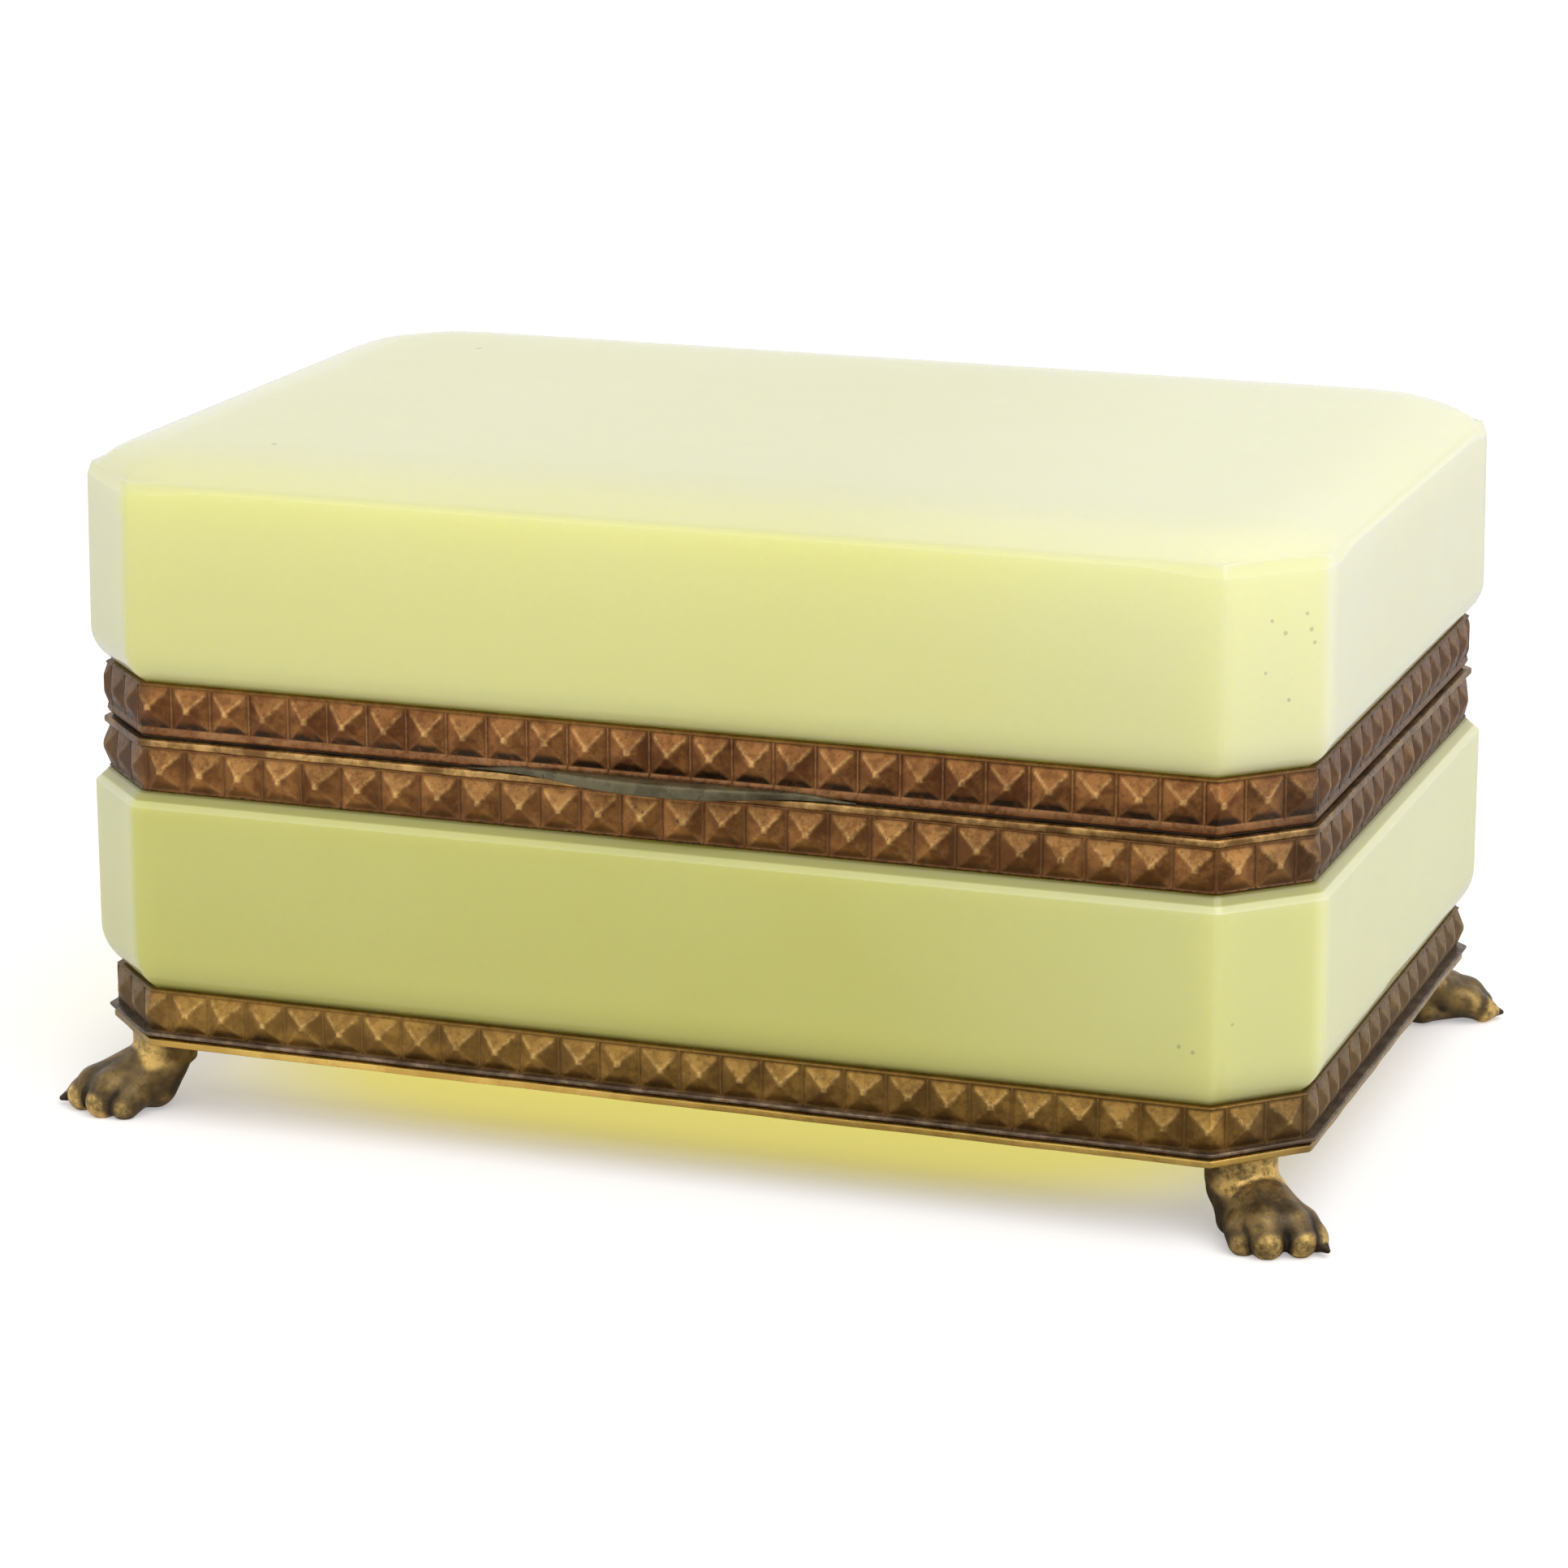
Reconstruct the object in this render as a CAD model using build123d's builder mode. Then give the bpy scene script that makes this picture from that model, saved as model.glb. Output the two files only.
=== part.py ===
from build123d import *
from math import sqrt
import os

os.makedirs("parts", exist_ok=True)

# Jewelry casket: two thick glass shells in brass mounts, on four lion-paw feet.
# Millimetres. The origin is on the table, under the middle of the casket.
# The front faces -Y, the hinge is at the back, and +Z is up.
# An inset is how far an outline lies inside the outline of the glass walls.

# Plan of the glass
case_length = 151.0
case_width = 97.8
corner_cut = 9.8
glass_wall = 8.0
cavity_corner_radius = 10.0
cavity_floor_fillet = 4.0

# Heights, from the table up
foot_height = 9.6
base_plate_thickness = 1.0
base_collar_height = 5.9
body_collar_bottom_z = 40.95
body_collar_height = 5.45
lid_collar_height = 6.0
lid_glass_height = 23.15
body_rim_thickness = 0.9
lid_rim_thickness = 0.6
seam_gap = 0.1

# Glass edges
lid_lower_round = 5.0
lid_upright = 7.0
lid_wall_lean = 0.3
lid_bevel_inset = 0.5
lid_bevel_height = 1.5
crown_steps = [(0.15, 1.25), (0.3, 0.94), (0.54, 0.52), (0.9, 0.19)]
body_shoulder_chamfer = 1.6
body_lower_round = 6.5
body_floor_thickness = 8.0
lid_top_thickness = 8.0
glass_gap = 0.1

# Brass strips with their pyramids
band_thickness = 0.8
upper_band_inset = 1.8
base_band_inset = 1.8
stud_pitch = 5.0
stud_width = 4.7
stud_rise = 1.0
stud_tip = 0.35
stud_height = 4.65
lid_lower_strip = 0.9
body_lower_strip = 0.25
base_lower_strip = 0.8
lid_stud_phase = 0.0
body_stud_phase = 0.3
base_stud_phase = 0.6

# Flanges at the seam and the base, and the thumb lip
seam_flange_inset = 1.25
lid_rim_inset = 2.2
foot_flange_inset = 0.7
foot_flange_thickness = 0.5
rim_lap = 0.1
lip_gap = 0.3
lip_thickness = 0.5
lip_height = 1.6
thumb_length = 47.0
thumb_reach = 2.6
thumb_thickness = 0.8
thumb_droop = 0.7
thumb_clearance = 0.25
thumb_end = 0.85

# Base plate and cement
base_plate_inset = 1.2
base_plate_width = 10.0
window_corner_radius = 8.0
bed_thickness = 1.2
bed_width = 6.0

# Hinge at the back
hinge_length = 38.0
knuckle_count = 5
knuckle_gap = 0.15
barrel_radius = 1.4
barrel_clearance = 0.2
pin_radius = 0.6
pin_clearance = 0.05
pin_head_radius = 1.0
pin_head_length = 0.5
leaf_thickness = 0.8
leaf_side_gap = 0.5
rivet_radius = 0.5
rivet_clearance = 0.03
rivet_head_radius = 0.9
rivet_head_height = 0.4
rivet_head_taper = 30.0
rivet_count = 4
rivet_margin = 4.0

# Lion-paw feet. Outward distances start at the cut edge of the bottom flange
ankle_width = 9.0
ankle_depth = 7.3
ankle_setback = 0.9
ankle_round = 1.2
instep_z = 6.9
heel_curve = [(2.5, 0.0), (-1.5, 0.6), (-5.9, 2.0), (-7.6, 6.6)]
sole_front = 7.0
knuckle_out = 6.6
knuckle_z = 6.2
toe_root_out = 2.0
inner_toe_radius = 2.2
inner_toe_out = 6.8
inner_toe_side = 2.45
inner_toe_root_side = 1.7
outer_toe_radius = 1.9
outer_toe_out = 4.7
outer_toe_side = 4.75
outer_toe_root_side = 3.2
toe_root_z = 4.2
toe_flat = 0.3
claw_length = 0.5
claw_radius = 0.75
claw_tip_radius = 0.2
claw_tip_z = 1.0
foot_screw_radius = 1.0
foot_screw_bore = 1.03
foot_screw_hole = 1.15
foot_screw_depth = 5.0
foot_screw_head_radius = 1.8
foot_screw_head_height = 0.8
foot_screw_slot_width = 0.5
foot_screw_slot_depth = 0.35
screw_pocket_gap = 0.2

# Levels that follow from those heights
base_top_z = foot_height + base_plate_thickness
base_collar_top_z = base_top_z + base_collar_height
body_rim_z = body_collar_bottom_z + body_collar_height
body_top_z = body_rim_z + body_rim_thickness
seam_z = body_top_z + seam_gap / 2
lid_bottom_z = seam_z + seam_gap / 2
lid_collar_z = lid_bottom_z + lid_rim_thickness
lid_collar_top_z = lid_collar_z + lid_collar_height
glass_floor_z = base_top_z + bed_thickness
cavity_floor_z = glass_floor_z + body_floor_thickness

half_length = case_length / 2
half_width = case_width / 2
diagonal_share = 2 - sqrt(2)
upper_neck_inset = max(lid_lower_round, upper_band_inset + band_thickness + glass_gap)
leaf_y = half_width - upper_band_inset
hinge_y = leaf_y + leaf_thickness + barrel_clearance + barrel_radius


def rounding_rise(radius, inset):
    """Height above its foot at which a quarter-round edge reaches an inset."""
    return radius - sqrt(radius**2 - (radius - inset) ** 2)


lid_glass_z = lid_collar_top_z - rounding_rise(lid_lower_round, upper_band_inset + band_thickness + glass_gap)
lid_edge_z = lid_glass_z + lid_glass_height
base_neck_z = base_collar_top_z - rounding_rise(body_lower_round, base_band_inset + band_thickness + glass_gap)
lid_crown_z = lid_edge_z + lid_bevel_height + sum(rise for share, rise in crown_steps)
lid_cavity_top_z = lid_crown_z - lid_top_thickness


def octagon(inset):
    """Corners of the plan at an inset, from the front's left end, counterclockwise from above."""
    x = half_length - inset
    y = half_width - inset
    cut = corner_cut - diagonal_share * inset
    right = [(x - cut, -y), (x, cut - y), (x, y - cut), (x - cut, y)]
    left = [(cut - x, y), (-x, y - cut), (-x, cut - y)]
    return [(cut - x, -y)] + right + left


def octagon_block(inset, low_z, high_z, mode=Mode.ADD):
    """A prism of the plan between two heights."""
    with BuildSketch(Plane.XY.offset(low_z)) as outline:
        Polygon(*octagon(inset), align=None)
    extrude(outline.sketch, amount=high_z - low_z, mode=mode)


def rounded_block(inset, radius, low_z, high_z, mode=Mode.ADD):
    """A prism of a rectangle with round corners between two heights."""
    with BuildSketch(Plane.XY.offset(low_z)) as outline:
        RectangleRounded(2 * (half_length - inset), 2 * (half_width - inset), radius)
    extrude(outline.sketch, amount=high_z - low_z, mode=mode)


def cavity_block(inset, low_z, high_z, mode=Mode.ADD):
    """A prism that follows the wall of the cavities, moved in or out to an inset."""
    rounded_block(inset, cavity_corner_radius + glass_wall - inset, low_z, high_z, mode)


def edges_at(part, height):
    """The edges of a part that lie flat at a height."""
    margin = 0.001
    return part.edges().filter_by_position(Axis.Z, height - margin, height + margin)


def hinge_notch(low_z, high_z):
    """Cuts a flange back to the strip where the hinge stands."""
    depth = 2 * upper_band_inset
    with Locations((0, leaf_y, (low_z + high_z) / 2)):
        length = hinge_length + 2 * leaf_side_gap
        Box(length, depth, high_z - low_z, align=(Align.CENTER, Align.MIN, Align.CENTER), mode=Mode.SUBTRACT)


def rivet_places(height):
    """Where the rivets of one leaf meet its face, pointing backwards."""
    reach = hinge_length / 2 - rivet_margin
    step = 2 * reach / (rivet_count - 1)
    face = leaf_y + leaf_thickness
    origins = [(-reach + index * step, face, height) for index in range(rivet_count)]
    return [Location(Plane(origin=origin, x_dir=(1, 0, 0), z_dir=(0, 1, 0))) for origin in origins]


def rivet_holes(height):
    """Holes for the rivets of one leaf, through the leaf and the strip."""
    with Locations(*rivet_places(height)):
        Cylinder(rivet_radius + rivet_clearance, 2 * (leaf_thickness + band_thickness), mode=Mode.SUBTRACT)


# One pyramid of the stamped strips
with BuildPart() as stud:
    with BuildSketch():
        Rectangle(stud_width, stud_height)
    with BuildSketch(Plane.XY.offset(stud_rise)):
        Rectangle(stud_tip, stud_tip)
    loft()


def stud_row(band_inset, low_z, phase, hinged):
    """Pyramids all round a strip at one steady pitch, folded where they cross a corner."""
    corners = [Vector(*corner) for corner in octagon(band_inset)]
    inner = octagon(band_inset + band_thickness / 2)
    outer = octagon(band_inset - 2 * stud_rise)
    around = sum((corners[index] - corners[index - 1]).length for index in range(8))
    pitch = around / round(around / stud_pitch)
    hinge_reach = hinge_length / 2 + leaf_side_gap + stud_width / 2
    sides = []
    travelled = 0.0
    for index in range(8):
        following = (index + 1) % 8
        run = corners[following] - corners[index]
        along = run.normalized()
        outward = along.rotate(Axis.Z, -90)
        whole = []
        folded = []
        first = int((travelled - stud_width / 2) / pitch - phase) + 1
        while (first + phase) * pitch < travelled + run.length + stud_width / 2:
            reach = (first + phase) * pitch - travelled
            first += 1
            spot = corners[index] + along * reach + Vector(0, 0, low_z + stud_height / 2)
            if hinged and spot.Y > half_width - 2 * upper_band_inset and abs(spot.X) < hinge_reach:
                continue
            place = Location(Plane(origin=spot, x_dir=along, z_dir=outward))
            on_side = stud_width / 2 < reach < run.length - stud_width / 2
            (whole if on_side else folded).append(place)
        with BuildPart() as side:
            if folded:
                with Locations(*folded):
                    add(stud.part)
                with BuildSketch():
                    Polygon(inner[index], inner[following], outer[following], outer[index], align=None)
                extrude(amount=lid_crown_z, mode=Mode.INTERSECT)
            with Locations(*whole):
                add(stud.part)
        sides.append(side.part)
        travelled += run.length
    return sides


lid_studs = stud_row(upper_band_inset, lid_collar_z + lid_lower_strip, lid_stud_phase, True)
body_studs = stud_row(upper_band_inset, body_collar_bottom_z + body_lower_strip, body_stud_phase, True)
base_studs = stud_row(base_band_inset, base_top_z + base_lower_strip, base_stud_phase, False)
upper_band_back = upper_band_inset + band_thickness
base_band_back = base_band_inset + band_thickness

# Body glass: walls, flat shoulder, a neck inside the body collar and a foot inside the base collar
with BuildPart() as glass_body:
    octagon_block(0, base_neck_z, body_collar_bottom_z)
    fillet(edges_at(glass_body, base_neck_z), body_lower_round)
    chamfer(edges_at(glass_body, body_collar_bottom_z), body_shoulder_chamfer)
    octagon_block(upper_neck_inset, body_collar_bottom_z, body_rim_z)
    octagon_block(body_lower_round, glass_floor_z, base_neck_z)
    cavity_block(glass_wall, cavity_floor_z, body_rim_z, Mode.SUBTRACT)
    fillet(edges_at(glass_body, cavity_floor_z), cavity_floor_fillet)

# The hollow of the lid, rounded where its walls meet its ceiling
with BuildPart() as lid_core:
    cavity_block(glass_wall, lid_collar_z, lid_cavity_top_z)
    fillet(edges_at(lid_core, lid_cavity_top_z), cavity_floor_fillet)

# Lid glass: leaning walls, bevelled edge, low crown and a neck inside the lid collar
with BuildPart() as glass_lid:
    octagon_block(0, lid_glass_z, lid_glass_z + lid_upright)
    fillet(edges_at(glass_lid, lid_glass_z), lid_lower_round)
    crown_inset = 0.0
    crown_z = lid_glass_z + lid_upright
    vanishing_inset = corner_cut / diagonal_share
    crown_rings = [(lid_wall_lean, lid_glass_height - lid_upright)]
    crown_rings += [(lid_wall_lean + lid_bevel_inset, lid_bevel_height)]
    crown_rings += [(share * vanishing_inset, rise) for share, rise in crown_steps]
    for next_inset, rise in crown_rings:
        with BuildSketch(Plane.XY.offset(crown_z)):
            Polygon(*octagon(crown_inset), align=None)
        crown_z += rise
        crown_inset = next_inset
        with BuildSketch(Plane.XY.offset(crown_z)):
            Polygon(*octagon(crown_inset), align=None)
        loft(ruled=True)
    octagon_block(upper_neck_inset, lid_collar_z, lid_glass_z)
    add(lid_core.part, mode=Mode.SUBTRACT)

# Stamped strips. Each upper strip is plain where its hinge leaf is riveted on
body_rivet_z = (body_collar_bottom_z + body_rim_z) / 2
lid_rivet_z = (lid_collar_z + lid_collar_top_z) / 2

with BuildPart() as lid_collar:
    octagon_block(upper_band_inset, lid_collar_z, lid_collar_top_z)
    octagon_block(upper_band_back, lid_collar_z, lid_collar_top_z, Mode.SUBTRACT)
    add(lid_studs)
    rivet_holes(lid_rivet_z)

with BuildPart() as body_collar:
    octagon_block(upper_band_inset, body_collar_bottom_z, body_rim_z)
    octagon_block(upper_band_back, body_collar_bottom_z, body_rim_z, Mode.SUBTRACT)
    add(body_studs)
    rivet_holes(body_rivet_z)

with BuildPart() as base_collar:
    octagon_block(foot_flange_inset, base_top_z, base_top_z + foot_flange_thickness)
    octagon_block(base_band_inset, base_top_z, base_collar_top_z)
    octagon_block(base_band_back, base_top_z, base_collar_top_z, Mode.SUBTRACT)
    add(base_studs)

# Rim plates that meet at the seam, and the lip that finds the lid's place
lip_outer = glass_wall + lip_gap
lip_inner = lip_outer + lip_thickness

with BuildPart() as body_rim:
    octagon_block(seam_flange_inset, body_rim_z, body_top_z)
    cavity_block(lip_inner, body_rim_z, body_top_z, Mode.SUBTRACT)
    hinge_notch(body_rim_z, body_top_z)

with BuildPart() as inner_lip:
    cavity_block(lip_outer, body_top_z, body_top_z + lip_height)
    cavity_block(lip_inner, body_top_z, body_top_z + lip_height, Mode.SUBTRACT)

with BuildPart() as lid_rim:
    octagon_block(lid_rim_inset, lid_bottom_z, lid_collar_z)
    cavity_block(glass_wall - rim_lap, lid_bottom_z, lid_collar_z, Mode.SUBTRACT)
    hinge_notch(lid_bottom_z, lid_collar_z)

# Thumb lip: a crescent before the lid's strip that droops in front of the body's flange,
# with a tongue that is soldered to the lid's rim plate
thumb_root_y = upper_band_inset - half_width
thumb_tip_y = thumb_root_y - thumb_reach
thumb_end_y = thumb_root_y - thumb_end
thumb_low_z = lid_bottom_z - thumb_droop

with BuildPart() as thumb_lip:
    with BuildSketch(Plane.XY.offset(thumb_low_z)):
        with BuildLine():
            for side in (-1, 1):
                end = side * thumb_length / 2
                Line((end, thumb_root_y), (end, thumb_end_y))
                Bezier((end, thumb_end_y), (end / 2, thumb_end_y), (end / 2, thumb_tip_y), (0, thumb_tip_y))
            Line((-thumb_length / 2, thumb_root_y), (thumb_length / 2, thumb_root_y))
        make_face()
    extrude(amount=thumb_droop + thumb_thickness)
    corner = (Align.CENTER, Align.MIN, Align.MIN)
    with Locations((0, seam_flange_inset - half_width - thumb_clearance, thumb_low_z)):
        Box(thumb_length, thumb_reach, thumb_droop, align=corner, mode=Mode.SUBTRACT)
    with Locations((0, thumb_root_y, lid_bottom_z)):
        Box(thumb_length, lid_rim_inset - upper_band_inset, lid_rim_thickness, align=corner)

# Plaster beds between the strips and the glass
with BuildPart() as lid_cement:
    octagon_block(upper_band_back, lid_collar_z, lid_glass_z)
    octagon_block(upper_neck_inset, lid_collar_z, lid_glass_z, Mode.SUBTRACT)

with BuildPart() as body_cement:
    octagon_block(upper_band_back, body_collar_bottom_z, body_rim_z)
    octagon_block(upper_neck_inset, body_collar_bottom_z, body_rim_z, Mode.SUBTRACT)

# Feet stand at the middle of each cut corner of the bottom flange
foot_cut = corner_cut - diagonal_share * foot_flange_inset
foot_x = half_length - foot_flange_inset - foot_cut / 2
foot_y = half_width - foot_flange_inset - foot_cut / 2
ankle_middle = -(ankle_setback + ankle_depth / 2)
corner_places = {
    "front_left": Location((-foot_x, -foot_y, 0), (0, 0, 225)),
    "front_right": Location((foot_x, -foot_y, 0), (0, 0, 315)),
    "back_left": Location((-foot_x, foot_y, 0), (0, 0, 135)),
    "back_right": Location((foot_x, foot_y, 0), (0, 0, 45)),
}

with BuildPart() as base_cement:
    octagon_block(base_band_back, base_top_z, base_neck_z)
    octagon_block(body_lower_round, glass_floor_z, base_neck_z, Mode.SUBTRACT)
    bed_inset = base_band_back + bed_width
    rounded_block(bed_inset, cavity_corner_radius, base_top_z, glass_floor_z, Mode.SUBTRACT)
    with Locations(*corner_places.values()):
        with Locations((ankle_middle, 0, base_top_z)):
            pocket = foot_screw_head_radius + screw_pocket_gap
            align = (Align.CENTER, Align.CENTER, Align.MIN)
            Cylinder(pocket, bed_thickness, align=align, mode=Mode.SUBTRACT)

with BuildPart() as base_plate:
    octagon_block(base_plate_inset, foot_height, base_top_z)
    window_inset = base_plate_inset + base_plate_width
    rounded_block(window_inset, window_corner_radius, foot_height, base_top_z, Mode.SUBTRACT)
    with Locations(*corner_places.values()):
        with Locations((ankle_middle, 0, foot_height)):
            Cylinder(foot_screw_hole, 2 * base_plate_thickness, mode=Mode.SUBTRACT)

# One lion paw, pointing along +X, with its origin under the middle of the cut edge
ankle_front = -ankle_setback
ankle_back = ankle_front - ankle_depth


def toe(radius, out, reach, root_reach):
    """A round-ended toe that slopes from the instep down to the table, and its claw."""
    root = Vector(toe_root_out, root_reach, toe_root_z)
    ball = Vector(out, reach, radius - toe_flat)
    length = (ball - root).length
    with BuildPart() as finger:
        with BuildSketch(Plane.XZ):
            with BuildLine():
                Line((0, length + radius), (0, 0))
                Line((0, 0), (radius, 0))
                Line((radius, 0), (radius, length))
                RadiusArc((radius, length), (0, length + radius), -radius)
            make_face()
        revolve(axis=Axis.Z)
    forward = Vector(ball.X - root.X, ball.Y - root.Y, 0).normalized()
    nail_root = ball + forward * (radius - claw_radius)
    nail_end = nail_root + forward * (claw_length + claw_radius)
    nail_tip = Vector(nail_end.X, nail_end.Y, claw_tip_z)
    with BuildPart(Plane(origin=nail_root, z_dir=nail_tip - nail_root)) as claw:
        align = (Align.CENTER, Align.CENTER, Align.MIN)
        Cone(claw_radius, claw_tip_radius, (nail_tip - nail_root).length, align=align)
    return [Location(Plane(origin=root, z_dir=ball - root)) * finger.part, claw.part]


with BuildPart() as paw:
    with BuildSketch(Plane.XZ):
        with BuildLine():
            Line((ankle_front, foot_height), (ankle_front, instep_z))
            Bezier((ankle_front, instep_z), (knuckle_out / 2, instep_z), (knuckle_out, knuckle_z), (sole_front, 0))
            Line((sole_front, 0), heel_curve[0])
            Bezier(*heel_curve)
            Line(heel_curve[-1], (ankle_back, foot_height))
            Line((ankle_back, foot_height), (ankle_front, foot_height))
        make_face()
    extrude(amount=ankle_width / 2, both=True)
    with BuildSketch():
        with Locations(((ankle_back + sole_front) / 2, 0)):
            RectangleRounded(sole_front - ankle_back, ankle_width, ankle_round)
    extrude(amount=foot_height, mode=Mode.INTERSECT)
    for side in (-1, 1):
        add(toe(inner_toe_radius, inner_toe_out, side * inner_toe_side, side * inner_toe_root_side))
        add(toe(outer_toe_radius, outer_toe_out, side * outer_toe_side, side * outer_toe_root_side))
    with BuildSketch():
        Rectangle(2 * case_width, 2 * case_width)
    extrude(amount=-foot_height, mode=Mode.SUBTRACT)
    with Locations((ankle_middle, 0, foot_height)):
        align = (Align.CENTER, Align.CENTER, Align.MAX)
        Cylinder(foot_screw_bore, foot_screw_depth, align=align, mode=Mode.SUBTRACT)

with BuildPart() as foot_front_left:
    with Locations(corner_places["front_left"]):
        add(paw.part)

with BuildPart() as foot_front_right:
    with Locations(corner_places["front_right"]):
        add(paw.part)

with BuildPart() as foot_back_left:
    with Locations(corner_places["back_left"]):
        add(paw.part)

with BuildPart() as foot_back_right:
    with Locations(corner_places["back_right"]):
        add(paw.part)

# Screws from above the base plate into the ankles
with BuildPart() as foot_screws:
    with Locations(*corner_places.values()):
        with Locations((ankle_middle, 0, base_top_z)):
            upwards = (Align.CENTER, Align.CENTER, Align.MIN)
            downwards = (Align.CENTER, Align.CENTER, Align.MAX)
            Cylinder(foot_screw_head_radius, foot_screw_head_height, align=upwards)
            Cylinder(foot_screw_radius, foot_screw_depth, align=downwards)
        with Locations((ankle_middle, 0, base_top_z + foot_screw_head_height)):
            slot_length = 2 * foot_screw_head_radius
            Box(slot_length, foot_screw_slot_width, 2 * foot_screw_slot_depth, mode=Mode.SUBTRACT)

# Hinge: knuckles taken in turn by the body's leaf and the lid's leaf
knuckle_pitch = hinge_length / knuckle_count


def knuckles(first, low_z, high_z):
    """Every second barrel of the hinge, each with the web that joins it to its leaf."""
    for index in range(first, knuckle_count, 2):
        middle = (index + 0.5) * knuckle_pitch - hinge_length / 2
        length = knuckle_pitch - knuckle_gap
        with BuildSketch(Plane(origin=(middle, 0, 0), x_dir=(0, 1, 0), z_dir=(1, 0, 0))) as section:
            with Locations((hinge_y, seam_z)):
                Circle(barrel_radius)
            with Locations(((leaf_y + hinge_y) / 2, (low_z + high_z) / 2)):
                Rectangle(hinge_y - leaf_y, high_z - low_z)
        extrude(section.sketch, amount=length / 2, both=True)
    with Locations(Location(Plane(origin=(0, hinge_y, seam_z), z_dir=(1, 0, 0)))):
        Cylinder(pin_radius + pin_clearance, 2 * hinge_length, mode=Mode.SUBTRACT)


def leaf_plate(low_z, high_z):
    """The flat part of a leaf, against the strip."""
    with Locations((0, leaf_y, low_z)):
        align = (Align.CENTER, Align.MIN, Align.MIN)
        Box(hinge_length, leaf_thickness, high_z - low_z, align=align)


with BuildPart() as hinge_leaf_body:
    leaf_plate(body_collar_bottom_z + leaf_side_gap, body_top_z)
    rivet_holes(body_rivet_z)
    knuckles(0, seam_z - barrel_radius, body_top_z)

with BuildPart() as hinge_leaf_lid:
    leaf_plate(lid_bottom_z, lid_collar_top_z - leaf_side_gap)
    rivet_holes(lid_rivet_z)
    knuckles(1, lid_bottom_z, seam_z + barrel_radius)

with BuildPart() as hinge_pin:
    end = (hinge_length - knuckle_gap) / 2
    with BuildSketch(Plane.YZ):
        with Locations((hinge_y, seam_z)):
            Circle(pin_radius)
    extrude(amount=end, both=True)
    for side in (-1, 1):
        with BuildSketch(Plane(origin=(side * end, hinge_y, seam_z), z_dir=(side, 0, 0))):
            Circle(pin_head_radius)
        extrude(amount=pin_head_length, taper=rivet_head_taper)


def rivets(height):
    """Rivets of one leaf, from the back of the strip to a low head on the leaf."""
    with Locations(*rivet_places(height)):
        align = (Align.CENTER, Align.CENTER, Align.MAX)
        Cylinder(rivet_radius, leaf_thickness + band_thickness, align=align)
    for place in rivet_places(height):
        with BuildSketch(Plane(place)) as head:
            Circle(rivet_head_radius)
        extrude(head.sketch, amount=rivet_head_height, taper=rivet_head_taper)


with BuildPart() as hinge_rivets_body:
    rivets(body_rivet_z)

with BuildPart() as hinge_rivets_lid:
    rivets(lid_rivet_z)

pieces = {
    "glass_body": glass_body,
    "body_collar": body_collar,
    "body_rim": body_rim,
    "inner_lip": inner_lip,
    "body_cement": body_cement,
    "base_collar": base_collar,
    "base_cement": base_cement,
    "base_plate": base_plate,
    "foot_front_left": foot_front_left,
    "foot_front_right": foot_front_right,
    "foot_back_left": foot_back_left,
    "foot_back_right": foot_back_right,
    "foot_screws": foot_screws,
    "hinge_leaf_body": hinge_leaf_body,
    "hinge_pin": hinge_pin,
    "hinge_rivets_body": hinge_rivets_body,
    "glass_lid": glass_lid,
    "lid_collar": lid_collar,
    "lid_rim": lid_rim,
    "thumb_lip": thumb_lip,
    "lid_cement": lid_cement,
    "hinge_leaf_lid": hinge_leaf_lid,
    "hinge_rivets_lid": hinge_rivets_lid,
}

for name, piece in pieces.items():
    piece.part.label = name
    export_step(piece.part, f"parts/{name}.step")
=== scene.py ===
from math import cos, pi, radians, sin

import bpy
import numpy as np
from mathutils import Matrix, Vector
from numpy.linalg import norm


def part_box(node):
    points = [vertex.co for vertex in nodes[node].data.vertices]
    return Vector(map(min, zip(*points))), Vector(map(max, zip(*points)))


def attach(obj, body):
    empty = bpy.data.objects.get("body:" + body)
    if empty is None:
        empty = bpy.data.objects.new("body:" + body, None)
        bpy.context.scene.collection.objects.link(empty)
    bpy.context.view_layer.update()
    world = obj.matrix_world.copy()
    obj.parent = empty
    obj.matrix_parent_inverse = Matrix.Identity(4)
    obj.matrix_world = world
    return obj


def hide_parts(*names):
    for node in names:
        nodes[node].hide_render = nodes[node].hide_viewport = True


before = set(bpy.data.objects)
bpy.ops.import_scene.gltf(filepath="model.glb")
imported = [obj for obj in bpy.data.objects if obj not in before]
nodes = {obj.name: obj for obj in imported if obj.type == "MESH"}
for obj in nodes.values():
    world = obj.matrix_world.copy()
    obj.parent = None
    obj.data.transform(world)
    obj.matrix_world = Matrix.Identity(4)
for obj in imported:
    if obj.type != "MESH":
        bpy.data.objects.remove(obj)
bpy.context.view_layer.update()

# Jewelry casket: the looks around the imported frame. Metres, front towards -Y, +Z up.
mm = 0.001
scene = bpy.context.scene


# Shader trees

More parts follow.
